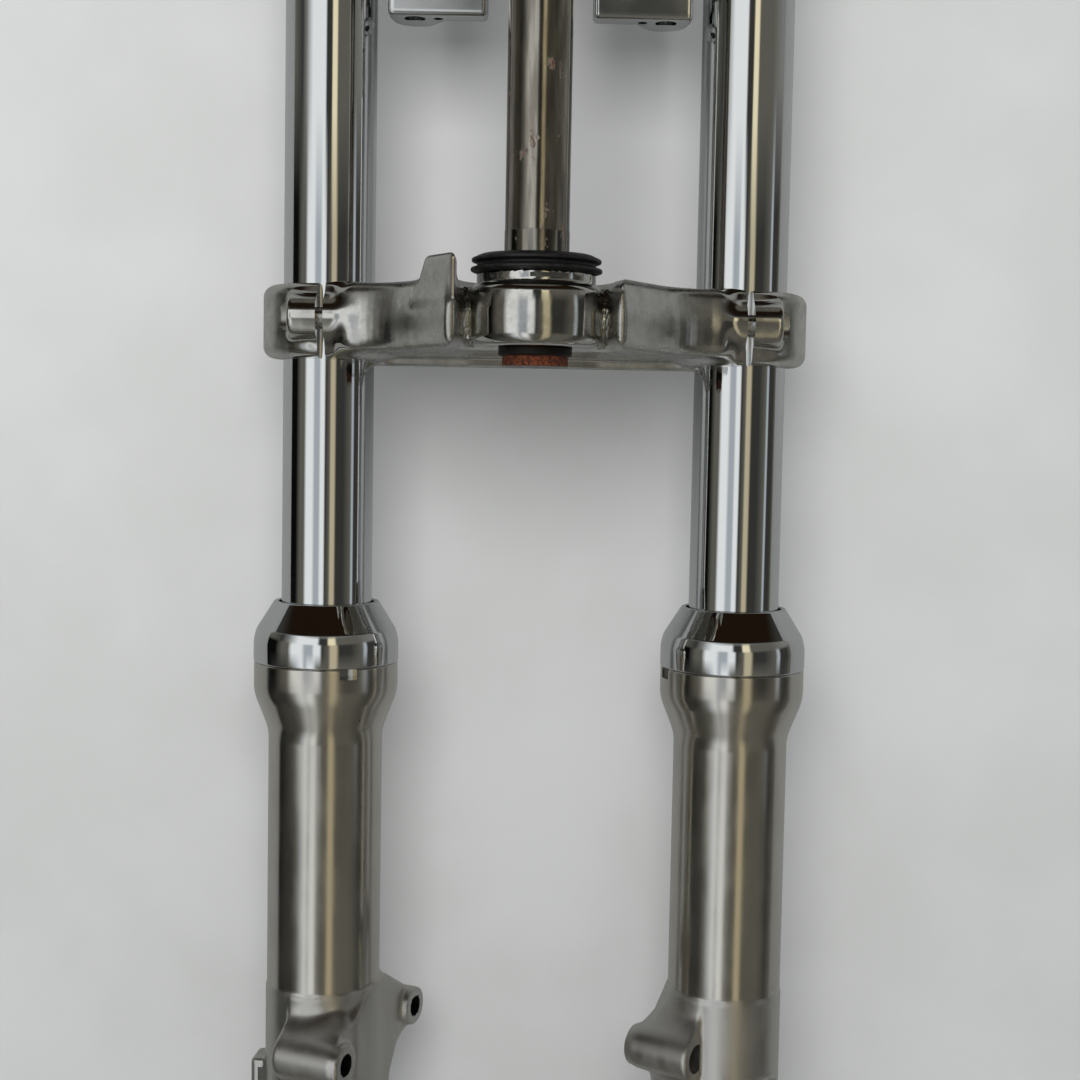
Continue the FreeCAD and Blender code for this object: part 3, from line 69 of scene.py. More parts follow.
# %% Camera
CAMERA_MM = (-2.11, -648.70, -60.59)
FOCAL_PIXELS = 1631.4
PHOTO_PIXELS = 1080
TILT, ROLL, YAW = 0.0677, 0.0180, 0.0083


def photo_camera():
    """The camera that took the photograph."""
    data = bpy.data.cameras.new("photo_camera")
    data.sensor_width = 36.0
    data.lens = data.sensor_width * FOCAL_PIXELS / PHOTO_PIXELS
    camera = bpy.data.objects.new("photo_camera", data)
    bpy.context.scene.collection.objects.link(camera)
    level = Vector((math.sin(YAW), math.cos(YAW), 0))
    side = Vector((math.cos(YAW), -math.sin(YAW), 0))
    up = Vector((0, 0, 1))
    ahead = level * math.cos(TILT) - up * math.sin(TILT)
    lift = up * math.cos(TILT) + level * math.sin(TILT)
    right = side * math.cos(ROLL) + lift * math.sin(ROLL)
    upright = lift * math.cos(ROLL) - side * math.sin(ROLL)
    turn = Matrix((right, upright, -ahead)).transposed().to_4x4()
    camera.matrix_world = Matrix.Translation(Vector(CAMERA_MM) * MM) @ turn
    bpy.context.scene.camera = camera
    return camera


camera = photo_camera()
print("camera:", round(camera.data.lens, 1), "mm lens")

# %% [markdown]
# Every material is a small tree of nodes. One function adds a node with its settings and links,
# and another turns the hex colours that a painter would name into the linear ones that light needs.

# %% Node and colour helpers
def linear(hex_colour):
    """An sRGB hex colour as linear RGBA."""
    parts = [int(hex_colour[i:i + 2], 16) / 255 for i in (1, 3, 5)]
    return [c / 12.92 if c <= 0.04045 else ((c + 0.055) / 1.055) ** 2.4 for c in parts] + [1.0]


def add(tree, kind, links=None, **settings):
    """Add one node. A link is another node's socket or a plain value, by input name or number."""
    made = tree.nodes.new(kind)
    for name, value in settings.items():
        setattr(made, name, value)
    for socket, value in (links or {}).items():
        if isinstance(value, bpy.types.NodeSocket):
            tree.links.new(value, made.inputs[socket])
        else:
            made.inputs[socket].default_value = value
    return made


def ramp(tree, value, stops, smooth=True):
    """A colour ramp node with its stops as (place, hex colour or grey level)."""
    made = add(tree, "ShaderNodeValToRGB", {"Fac": value})
    made.color_ramp.interpolation = "EASE" if smooth else "LINEAR"
    while len(made.color_ramp.elements) < len(stops):
        made.color_ramp.elements.new(0.5)
    for element, (place, tone) in zip(made.color_ramp.elements, stops):
        element.position = place
        element.color = linear(tone) if isinstance(tone, str) else (tone, tone, tone, 1.0)
    return made.outputs["Color"]


def spots_per_metre(size_mm):
    """A texture scale that gives features of this size."""
    return 1000.0 / size_mm


def noise(tree, place, size_mm, detail=3.0, rough=0.5):
    """Soft random tone with features of one size."""
    made = add(tree, "ShaderNodeTexNoise", {"Vector": place, "Scale": spots_per_metre(size_mm),
                                            "Detail": detail, "Roughness": rough})
    return made.outputs["Fac"]


def new_material(name):
    """An empty material with its shader, its object coordinates and its tree."""
    material = bpy.data.materials.new(name)
    material.use_nodes = True
    tree = material.node_tree
    tree.nodes.clear()
    shader = add(tree, "ShaderNodeBsdfPrincipled")
    add(tree, "ShaderNodeOutputMaterial", {"Surface": shader.outputs["BSDF"]})
    place = add(tree, "ShaderNodeTexCoord").outputs["Object"]
    return material, tree, shader, place


def stretched(tree, place, x, y, z):
    """Coordinates scaled by an amount along each axis."""
    return add(tree, "ShaderNodeMapping", {"Vector": place, "Scale": (x, y, z)}).outputs["Vector"]


def mixed(tree, share, first, second):
    """One colour over another by a share."""
    made = add(tree, "ShaderNodeMix", {0: share, 6: first, 7: second}, data_type="RGBA")
    return made.outputs[2]


def bumped(tree, shader, height, depth_mm, strength=1.0, under=None):
    """Raise the surface by a height texture."""
    links = {"Height": height, "Distance": depth_mm * MM, "Strength": strength}
    if under is not None:
        links["Normal"] = under
    made = add(tree, "ShaderNodeBump", links)
    tree.links.new(made.outputs["Normal"], shader.inputs["Normal"])
    return made.outputs["Normal"]


# %% [markdown]
# Hard chrome is a few thousandths of a millimetre of mirror on ground steel. It takes its whole look
# from the room, so the material is nearly a mirror, with a breath of haze and a few old pits.

# %% Chrome
def chrome(name, haze=0.035, pits=True):
    """Hard chrome plate: a mirror with faint haze, and pits where it is old."""
    material, tree, shader, place = new_material(name)
    shader.inputs["Metallic"].default_value = 1.0
    cloud = noise(tree, place, 35)
    shine = ramp(tree, cloud, [(0.35, haze), (0.7, haze * 2.2)])
    tree.links.new(shine, shader.inputs["Roughness"])
    if pits:
        cell = add(tree, "ShaderNodeTexVoronoi", {"Vector": place, "Scale": spots_per_metre(17)})
        patch = noise(tree, place, 60, detail=1)
        allowed = ramp(tree, patch, [(0.56, 0.0), (0.62, 1.0)])
        dot = ramp(tree, cell.outputs["Distance"], [(0.020, 1.0), (0.034, 0.0)])
        pit = add(tree, "ShaderNodeMath", {0: dot, 1: allowed}, operation="MULTIPLY").outputs[0]
        tree.links.new(mixed(tree, pit, linear("#DADCDD"), linear("#4A4038")), shader.inputs["Base Color"])
    else:
        shader.inputs["Base Color"].default_value = linear("#DADCDD")
    return material


tube_chrome = chrome("hard_chrome_tube")
cover_chrome = chrome("bright_chrome_cover", haze=0.02, pits=False)
bracket_chrome = chrome("thin_chrome_on_casting", haze=0.10)
print("chrome:", tube_chrome.name, cover_chrome.name, bracket_chrome.name)

# %% [markdown]
# The lower clamp is an aluminium forging, buffed by hand. The wheel reaches the hub and the bolt
# bosses best, so they are mirrors. The arms between them stay satin, and the ring ends nearly matt.
# Distance from the middle decides the finish. The buffed skin waves a little, over about 9 mm.

# %% Polished forging
def polished_forging(name, finish, wave_mm=9.0, wave_depth=0.030, tint="#CFCECA"):
    """Hand-buffed aluminium whose roughness follows the distance from its middle plane."""
    material, tree, shader, place = new_material(name)
    shader.inputs["Metallic"].default_value = 1.0
    sideways = add(tree, "ShaderNodeSeparateXYZ", {0: place}).outputs["X"]
    apart = add(tree, "ShaderNodeMath", {0: sideways}, operation="ABSOLUTE").outputs[0]
    share = add(tree, "ShaderNodeMapRange", {"Value": apart, "From Max": 0.120}).outputs[0]
    base = ramp(tree, share, [(x / 120, rough) for x, rough in finish], smooth=False)
    dull = noise(tree, place, 13, detail=4)
    spread = ramp(tree, dull, [(0.36, 0.82), (0.68, 1.35)])
    rough = add(tree, "ShaderNodeMath", {0: base, 1: spread}, operation="MULTIPLY").outputs[0]
    tree.links.new(rough, shader.inputs["Roughness"])
    stain = noise(tree, place, 7, detail=5, rough=0.65)
    tone = ramp(tree, stain, [(0.30, "#B9B8B3"), (0.62, tint)])
    tree.links.new(tone, shader.inputs["Base Color"])
    wave = noise(tree, place, wave_mm, detail=1)
    fine = noise(tree, place, wave_mm * 0.45, detail=1)
    mirror = ramp(tree, base, [(0.10, 1.0), (0.22, 0.15)])
    ripple = add(tree, "ShaderNodeMath", {0: fine, 1: mirror}, operation="MULTIPLY").outputs[0]
    waved = bumped(tree, shader, wave, wave_depth, under=bumped(tree, shader, ripple, wave_depth * 0.5))
    hair = noise(tree, stretched(tree, place, 1, 1, 14), 3.2, detail=2)
    bumped(tree, shader, hair, 0.004, under=waved)
    return material


clamp_metal = polished_forging("buffed_aluminium_forging", [
    (0, 0.07), (26, 0.08), (30, 0.26), (74, 0.27), (80, 0.09), (101, 0.09), (104, 0.32)])
upper_metal = polished_forging("satin_machined_aluminium", [(0, 0.25), (110, 0.27)], wave_depth=0.01)
print("forgings:", clamp_metal.name, upper_metal.name)

# %% [markdown]
# The lower legs are cast aluminium. The barrel was turned after casting, so it shows sharp bright
# lines from top to bottom. Around the lugs the tool couldn't reach, and the skin is left as cast.
# Height decides which of the two finishes a point gets, in the leg's own axes.

# %% Cast aluminium
def cast_alloy(name, turned=(0.15, 0.21), cast=(0.33, 0.44), change_z=-304.5):
    """Aluminium casting: turned and tumbled above a level, as cast below it, with dark nicks."""
    material, tree, shader, place = new_material(name)
    shader.inputs["Metallic"].default_value = 1.0
    cloud = noise(tree, stretched(tree, place, 1, 1, 0.35), 9, detail=4)
    height = add(tree, "ShaderNodeSeparateXYZ", {0: place}).outputs["Z"]
    wander = add(tree, "ShaderNodeMath", {0: cloud, 1: 0.004, 2: height}, operation="MULTIPLY_ADD").outputs[0]
    is_cast = add(tree, "ShaderNodeMapRange", {"Value": wander, "From Min": (change_z + 2.6) * MM,
                                               "From Max": (change_z + 0.6) * MM}).outputs[0]
    smooth = ramp(tree, cloud, [(0.36, turned[0]), (0.68, turned[1])])
    coarse = ramp(tree, cloud, [(0.36, cast[0]), (0.68, cast[1])])
    tree.links.new(mixed(tree, is_cast, smooth, coarse), shader.inputs["Roughness"])
    turned_tone = ramp(tree, cloud, [(0.30, "#C6C3BC"), (0.70, "#D2CFC8")])
    cast_tone = ramp(tree, cloud, [(0.30, "#CBC9C5"), (0.70, "#D7D5D1")])
    tone = mixed(tree, is_cast, turned_tone, cast_tone)
    cell = add(tree, "ShaderNodeTexVoronoi", {"Vector": stretched(tree, place, 1, 1, 0.45),
                                              "Scale": spots_per_metre(15)})
    patch = noise(tree, place, 33, detail=1)
    allowed = ramp(tree, patch, [(0.54, 0.0), (0.60, 1.0)])
    dot = ramp(tree, cell.outputs["Distance"], [(0.022, 0.85), (0.045, 0.0)])
    nick = add(tree, "ShaderNodeMath", {0: dot, 1: allowed}, operation="MULTIPLY").outputs[0]
    tree.links.new(mixed(tree, nick, tone, linear("#3B3733")), shader.inputs["Base Color"])
    grain = noise(tree, place, 0.8, detail=3, rough=0.6)
    grained = bumped(tree, shader, grain, 0.003)
    dent = add(tree, "ShaderNodeMath", {0: 1.0, 1: nick}, operation="SUBTRACT").outputs[0]
    bumped(tree, shader, dent, 0.05, under=grained)
    return material


leg_metal = cast_alloy("turned_and_cast_aluminium")
print("casting:", leg_metal.name)

# %% [markdown]
# The steering stem is turned steel with no plating, so it has rusted where hands and rain reached it.
# Fine turning rings run round it. They are too fine to show, so they are drawn 0.7 mm apart.

# %% Rusted steel
def turned_steel(name, rust_from=0.60, rust_to=0.68):
    """Ground steel with turning rings and brown rust in scattered patches."""
    material, tree, shader, place = new_material(name)
    rings = add(tree, "ShaderNodeTexWave", {"Vector": place, "Scale": spots_per_metre(0.7) / 6.283,
                                            "Distortion": 0.4}, bands_direction="Z")
    broad = noise(tree, stretched(tree, place, 1, 1, 0.45), 11, detail=6, rough=0.72)
    height = add(tree, "ShaderNodeSeparateXYZ", {0: place}).outputs["Z"]
    at_foot = ramp(tree, add(tree, "ShaderNodeMapRange", {
        "Value": height, "From Min": -0.0361, "From Max": -0.0281}).outputs[0],
        [(0.015, 0.0), (0.06, 0.42), (0.88, 0.42), (0.95, 0.0)])
    reach = add(tree, "ShaderNodeMath", {0: broad, 1: at_foot}, operation="ADD").outputs[0]
    rust = ramp(tree, reach, [(rust_from, 0.0), (rust_to, 1.0)])
    streak = noise(tree, stretched(tree, place, 1, 1, 0.12), 3, detail=3)
    steel_tone = ramp(tree, streak, [(0.35, "#7F7A72"), (0.7, "#A39E95")])
    rust_tone = ramp(tree, noise(tree, place, 1.4, detail=3), [(0.35, "#2E150B"), (0.68, "#6E3619")])
    tree.links.new(mixed(tree, rust, steel_tone, rust_tone), shader.inputs["Base Color"])
    bare = add(tree, "ShaderNodeMath", {0: 1.0, 1: rust}, operation="SUBTRACT").outputs[0]
    tree.links.new(bare, shader.inputs["Metallic"])
    tree.links.new(ramp(tree, rust, [(0.0, 0.15), (1.0, 0.75)]), shader.inputs["Roughness"])
    ringed = bumped(tree, shader, rings.outputs["Fac"], 0.0015)
    bumped(tree, shader, rust, 0.06, under=ringed)
    return material


stem_steel = turned_steel("turned_steel_with_rust")

# %% [markdown]
# The remaining finishes are small things: moulded rubber, zinc-plated bolts, oiled springs, bushes.
# Each still has its own grain, because other views and other lights come close to them.

# %% Rubber, plated steel and the hidden metals
def grained(name, low, high, rough, metallic=0.0, grain_mm=1.2, depth_mm=0.01):
    """A plain finish whose tone and roughness vary with a fine grain."""
    material, tree, shader, place = new_material(name)
    shader.inputs["Metallic"].default_value = metallic
    grain = noise(tree, place, grain_mm, detail=4, rough=0.6)
    tree.links.new(ramp(tree, grain, [(0.3, low), (0.7, high)]), shader.inputs["Base Color"])
    tree.links.new(ramp(tree, grain, [(0.3, rough[0]), (0.7, rough[1])]), shader.inputs["Roughness"])
    bumped(tree, shader, grain, depth_mm)
    return material


FINISHES = {
    "polished_alloy": clamp_metal,
    "clamp_alloy": upper_metal,
    "chrome": tube_chrome,
    "cast_alloy": leg_metal,
    "ground_steel": stem_steel,
    "black_rubber": grained("moulded_black_rubber", "#0D0D0E", "#1B1B1C", (0.34, 0.52), grain_mm=2.0),
    "blackened_steel": grained("oil_blackened_steel", "#171514", "#2A2522", (0.42, 0.60), 0.6),
    "zinc_steel": grained("bright_zinc_plated_steel", "#A9AAA8", "#C6C7C4", (0.20, 0.30), 1.0),
    "spring_steel": grained("oil_tempered_spring_wire", "#3A3A3C", "#4E4D4D", (0.32, 0.42), 1.0),
    "plain_steel": grained("machined_plain_steel", "#8A8986", "#A09E9A", (0.28, 0.40), 1.0),
    "spacer_plastic": grained("extruded_white_pvc", "#CFCDC6", "#DEDCD6", (0.40, 0.52)),
    "cap_alloy": chrome("chromed_fork_cap", haze=0.05),
    "bearing_bronze": grained("lined_bronze_strip", "#8C6C3C", "#A5854F", (0.34, 0.46), 1.0),
    "ring_plastic": grained("filled_slip_ring_plastic", "#3A2416", "#4C3120", (0.40, 0.50)),
    "copper": grained("soft_copper_washer", "#A8623C", "#C07A50", (0.26, 0.38), 1.0),
}
# The bore walls take a dark tone. It is painted shade for the inside of the holes, not the colour of the
# aluminium.
bore_painted_shade = grained("bore_wall_painted_shade", "#35322E", "#484540", (0.45, 0.60), 1.0)
print("finishes:", len(FINISHES))

# %% [markdown]
# Turned pieces are drawn as the lathe makes them: half of the section, then spun.
# Corners in a section carry a radius, which is worked out as a true arc, so highlights roll over it.

# %% Lathe
def soft_corners(corners, steps=8):
    """Replace each corner (x, y, radius) of a closed outline by an arc."""
    points = []
    count = len(corners)
    for index, corner in enumerate(corners):
        here = Vector(corner[:2])
        radius = corner[2] if len(corner) > 2 else 0.0
        if radius <= 0:
            points.append(tuple(here))
            continue
        before = (Vector(corners[index - 1][:2]) - here).normalized()
        after = (Vector(corners[(index + 1) % count][:2]) - here).normalized()
        half = before.angle(after) / 2
        reach = radius / math.tan(half)
        centre = here + (before + after).normalized() * (radius / math.sin(half))
        start = here + before * reach - centre
        end = here + after * reach - centre
        sweep = start.angle_signed(end)
        for step in range(steps + 1):
            turn = -sweep * step / steps
            spot = centre + Vector((start.x * math.cos(turn) - start.y * math.sin(turn),
                                    start.x * math.sin(turn) + start.y * math.cos(turn)))
            points.append(tuple(spot))
    return points


def shown(name, vertices, faces, material=None, sharp=30.0):
    """A mesh object in metres from points in millimetres, smooth but for its sharp edges."""
    mesh = bpy.data.meshes.new(name)
    mesh.from_pydata((np.asarray(vertices, dtype=float) * MM).tolist(), [], faces)
    mesh.validate()
    mesh.shade_smooth()
    mesh.set_sharp_from_angle(angle=math.radians(sharp))
    if material:
        mesh.materials.append(material)
    piece = bpy.data.objects.new(name, mesh)
    bpy.context.scene.collection.objects.link(piece)
    return piece


def spun(name, corners, material=None, centre=(0.0, 0.0), rounds=160, sharp=30.0):
    """A turned piece from the corners (radius, height, fillet) of half its section."""
    outline = soft_corners(corners)
    vertices, rows = [], []
    for radius, height in outline:
        if abs(radius) < 1e-6:
            rows.append([len(vertices)])
            vertices.append((centre[0], centre[1], height))
            continue
        rows.append(list(range(len(vertices), len(vertices) + rounds)))
        for step in range(rounds):
            turn = 2 * math.pi * step / rounds
            vertices.append((centre[0] + radius * math.cos(turn), centre[1] + radius * math.sin(turn),
                             height))
    faces = []
    for index, row in enumerate(rows):
        below = rows[(index + 1) % len(rows)]
        if len(row) == 1 and len(below) == 1:
            continue
        for step in range(rounds):
            ahead = (step + 1) % rounds
            ring = [row[step % len(row)], row[ahead % len(row)],
                    below[ahead % len(below)], below[step % len(below)]]
            faces.append(tuple(dict.fromkeys(ring)))
    area = sum(a[0] * b[1] - b[0] * a[1] for a, b in zip(outline, outline[1:] + outline[:1]))
    if area < 0:
        faces = [face[::-1] for face in faces]
    return shown(name, vertices, faces, material, sharp)


def tube_centre(side):
    """Where a fork tube's axis stands."""
    return (TUBE_X * SIDES[side], TUBE_Y)


# %% [markdown]
# Each fork tube is one long ground and chromed cylinder, so a lathe with many sides is all it needs.
# The dust cover is spun and chromed too: a flared skirt that closes in around the tube.

# %% Fork tubes and dust covers
TUBE_TOP, TUBE_END = 194.0, -396.0
RIM = -163.0
for side in SIDES:
    tube = spun(f"chrome_fork_tube_{side}", [
        (16.6, TUBE_END), (19.4, TUBE_END), (19.4, -394), (19.15, -394), (19.15, -379), (19.5, -379),
        (19.5, TUBE_TOP, 0.8), (16.6, TUBE_TOP)], tube_chrome, tube_centre(side), rounds=192)
    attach(tube, "clamps_and_tubes")
    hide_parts(f"fork_tube_{side}")
    cover = spun(f"chrome_dust_cover_{side}", [
        (20.7, -136.8, 0.4), (22.6, -136.8, 0.8), (30.0, -148.6, 4.0), (31.4, -152.9, 20), (31.4, RIM, 0.8),
        (25.96, RIM), (25.96, -173), (24.36, -173), (24.36, -143), (20.7, -143)],
        cover_chrome, tube_centre(side), rounds=192)
    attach(cover, f"{side}_leg")
    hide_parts(f"dust_cover_{side}")
print("tubes and covers spun")

# %% [markdown]
# The stem passes right through the lower clamp and shows a rusty foot with a lathe centre in its end.
# The rubber seal over the bearing seat has two lips, one wide below and one a little smaller above.

# %% Stem, seal and foot washer
stem = spun("steering_stem_turned", [
    (0, -33.7), (1.6, -36.1, 0.3), (13.0, -36.1, 0.7), (13.0, -28.6), (12.7, -28.6), (12.7, 7.4),
    (12.85, 7.4), (12.85, 16.7, 0.3), (12.7, 17.4), (12.7, 168), (11.1, 168), (11.1, 214, 1.0), (0, 214)],
    stem_steel)
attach(stem, "clamps_and_tubes")
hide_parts("steering_stem")
seal = spun("bearing_seal_two_lips", [
    (12.74, 0), (23.2, 0, 0.5), (26.0, 1.1, 0.5), (26.0, 2.2, 0.5), (23.4, 3.1, 0.6), (23.4, 4.0, 0.6),
    (25.6, 4.8, 0.5), (25.6, 5.9, 0.5), (22.5, 7.4, 0.8), (12.74, 7.4)], FINISHES["black_rubber"])
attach(seal, "clamps_and_tubes")
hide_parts("bearing_dust_seal")
washer = spun("foot_washer_rolled", [
    (13.04, -28.6), (14.6, -28.6, 0.3), (14.6, -31.9, 0.9), (13.04, -31.9)], FINISHES["blackened_steel"])
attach(washer, "clamps_and_tubes")
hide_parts("stem_foot_washer")
print("stem, seal and washer spun")

# %% [markdown]
# Forgings and castings have no sharp inner corners: every boss melts into its web.
# The way used here describes each piece by how far any point is from its skin. Joining two such
# distances with a soft minimum gives a fillet for free. The skin is then meshed cell by cell and
# every vertex is pushed onto the true surface, so it stays smooth enough for polished metal.

# %% Distance forms
def soft_min(a, b, width):
    """Join two forms with a fillet of about this width."""
    near = np.maximum(width - np.abs(a - b), 0.0) / width
    return np.minimum(a, b) - near * near * width * 0.25


def soft_max(a, b, width):
    """Keep what two forms share, with a rounded edge."""
    return -soft_min(-a, -b, width)


def rounded_pair(flat, tall, radius):
    """Combine a distance across and a distance along, with a rounded edge."""
    flat, tall = flat + radius, tall + radius
    outside = np.hypot(np.maximum(flat, 0), np.maximum(tall, 0))
    return np.minimum(np.maximum(flat, tall), 0) + outside - radius


def between(value, low, high):
    """Distance to the stretch between two limits."""
    return np.abs(value - (low + high) / 2) - (high - low) / 2


def bar_form(across, up, along, radius, low, high, edge=0.5):
    """A round bar with rounded ends: two coordinates across it and one along."""
    return rounded_pair(np.hypot(across, up) - radius, between(along, low, high), edge)


def block_form(x, y, z, limits, edge=1.0):
    """A box between limits with all its edges rounded."""
    sides = [between(value, low, high) + edge for value, (low, high) in zip((x, y, z), limits)]
    outside = np.sqrt(sum(np.maximum(one, 0) ** 2 for one in sides))
    return np.minimum(np.maximum(np.maximum(sides[0], sides[1]), sides[2]), 0) + outside - edge


def outline_form(across, up, points):
    """Signed distance to a closed outline of straight runs."""
    across, up = np.broadcast_arrays(across, up)
    nearest = np.full(across.shape, np.inf)
    inside = np.zeros(across.shape, dtype=bool)
    for (ax, ay), (bx, by) in zip(points, points[1:] + points[:1]):
        run_x, run_y = bx - ax, by - ay
        length = run_x * run_x + run_y * run_y
        if length < 1e-9:
            continue
        share = np.clip(((across - ax) * run_x + (up - ay) * run_y) / length, 0, 1)
        gap = (across - ax - share * run_x) ** 2 + (up - ay - share * run_y) ** 2
        nearest = np.minimum(nearest, gap)
        if ay != by:
            crosses = ((ay > up) != (by > up)) & (across < (bx - ax) * (up - ay) / (by - ay) + ax)
            inside ^= crosses
    return np.where(inside, -1, 1) * np.sqrt(nearest)


def plate_form(across, up, along, corners, low, high, edge):
    """A plate of any outline, pushed between two limits and rounded at its edges."""
    return rounded_pair(outline_form(across, up, soft_corners(corners)), between(along, low, high), edge)


# %% [markdown]
# Surface nets puts one vertex in each cell that the skin passes through, at the middle of its
# crossings, and a quad across each crossed edge. Newton steps along the slope of the distance
# then bring each vertex onto the skin.

# %% Mesh a distance form
def net(form, low, high, cell):
    """Vertices and quads of the surface where a form's distance is zero."""
    counts = [int(math.ceil((b - a) / cell)) + 1 for a, b in zip(low, high)]
    axes = [a + cell * np.arange(n) for a, n in zip(low, counts)]
    grid = [axis.reshape([-1 if i == k else 1 for i in range(3)]) for k, axis in enumerate(axes)]
    field = np.broadcast_to(form(*grid), counts)
    cells = [n - 1 for n in counts]
    total, hits = np.zeros(cells + [3]), np.zeros(cells)
    crossings = []
    for axis in range(3):
        first = field[tuple(slice(0, -1) if i == axis else slice(None) for i in range(3))]
        second = field[tuple(slice(1, None) if i == axis else slice(None) for i in range(3))]
        crossed = (first < 0) != (second < 0)
        spots = np.argwhere(crossed)
        share = first[crossed] / (first[crossed] - second[crossed])
        where = spots.astype(float)
        where[:, axis] += share
        crossings.append((axis, spots, first[crossed] < 0))
        p, q = [i for i in range(3) if i != axis]
        for back_p in (0, 1):
            for back_q in (0, 1):
                home = spots.copy()
                home[:, p] -= back_p
                home[:, q] -= back_q
                kept = np.all((home >= 0) & (home < cells), axis=1)
                np.add.at(total, tuple(home[kept].T), where[kept])
                np.add.at(hits, tuple(home[kept].T), 1)
    used = np.argwhere(hits > 0)
    number = np.full(cells, -1)
    number[tuple(used.T)] = np.arange(len(used))
    points = total[tuple(used.T)] / hits[tuple(used.T)][:, None] * cell + np.array(low)
    quads = []
    for axis, spots, lower_inside in crossings:
        p, q = [i for i in range(3) if i != axis]
        ring = []
        for back_p, back_q in ((0, 0), (1, 0), (1, 1), (0, 1)):
            home = spots.copy()
            home[:, p] -= back_p
            home[:, q] -= back_q
            kept = np.all((home >= 0) & (home < cells), axis=1)
            home[~kept] = 0
            ring.append(np.where(kept, number[tuple(home.T)], -1))
        ring = np.stack(ring, axis=1)
        flip = lower_inside == (axis == 1)
        ring[flip] = ring[flip][:, ::-1]
        quads.append(ring[np.all(ring >= 0, axis=1)])
    for _ in range(4):
        value = form(*points.T)
        slope = np.stack([form(*(points + step).T) - form(*(points - step).T)
                          for step in np.eye(3) * cell * 0.05], axis=1) / (cell * 0.1)
        steep = np.maximum((slope ** 2).sum(axis=1), 0.25)
        points = points - np.clip(value / steep, -cell * 0.4, cell * 0.4)[:, None] * slope
    return points, np.concatenate(quads)


def placed(points, turn_degrees=0.0, centre=(0.0, 0.0)):
    """Points turned about the Z axis and then moved to a centre."""
    turn = math.radians(turn_degrees)
    moved = np.array(points, dtype=float)
    x, y = moved[:, 0].copy(), moved[:, 1].copy()
    moved[:, 0] = x * math.cos(turn) - y * math.sin(turn) + centre[0]
    moved[:, 1] = x * math.sin(turn) + y * math.cos(turn) + centre[1]
    return moved


def carved(piece, cutters, sharp=32.0):
    """Cut crisp holes in a piece, then drop the cutters."""
    for cutter in cutters:
        cut = piece.modifiers.new("cut", "BOOLEAN")
        cut.operation = "DIFFERENCE"
        cut.solver = "MANIFOLD"
        cut.object = cutter
    graph = bpy.context.evaluated_depsgraph_get()
    mesh = bpy.data.meshes.new_from_object(piece.evaluated_get(graph))
    material = piece.data.materials[0]
    mesh.materials.clear()
    mesh.materials.append(material)
    mesh.polygons.foreach_set("material_index", np.zeros(len(mesh.polygons), dtype=int))
    piece.modifiers.clear()
    piece.data = mesh
    for cutter in cutters:
        bpy.data.objects.remove(cutter)
    mesh.shade_smooth()
    mesh.set_sharp_from_angle(angle=math.radians(sharp))
    return piece


WAYS = {"X": Matrix.Rotation(math.radians(90), 4, "Y"), "Y": Matrix.Rotation(math.radians(-90), 4, "X"),
        "Z": Matrix.Identity(4)}


def bar_cutter(radius, start, length, along, turn=0.0, centre=(0.0, 0.0)):
    """A round cutter from a start point."""
    cutter = spun("cutter", [(0, 0), (radius, 0), (radius, length), (0, length)], rounds=64)
    step_back = Matrix.Translation(Vector((centre[0], centre[1], 0)) * MM) @ Matrix.Rotation(
        math.radians(turn), 4, "Z")
    cutter.data.transform(step_back @ Matrix.Translation(Vector(start) * MM) @ WAYS[along])
    return cutter


def block_cutter(limits, turn=0.0, centre=(0.0, 0.0)):
    """A square cutter between limits."""
    corners = [(x, y, z) for x in limits[0] for y in limits[1] for z in limits[2]]
    faces = [(0, 1, 3, 2), (4, 6, 7, 5), (0, 4, 5, 1), (2, 3, 7, 6), (0, 2, 6, 4), (1, 5, 7, 3)]
    return shown("cutter", placed(corners, turn, centre), faces)


# %% [markdown]
# The lower clamp is one forging. Its hub holds the stem, two arms swoop out to the split rings, and
# a round boss across each split takes the pinch bolt. The arms stop short of the hub as two small
# pillars, and the left one stands up as the steering stop.

# %% Lower clamp
BOLT_Y, BOLT_Z = 35.0, -15.5


def mirrored(corners):
    """A half outline with its mirror image on the other side."""
    return corners + [(-corner[0],) + tuple(corner[1:]) for corner in reversed(corners)]


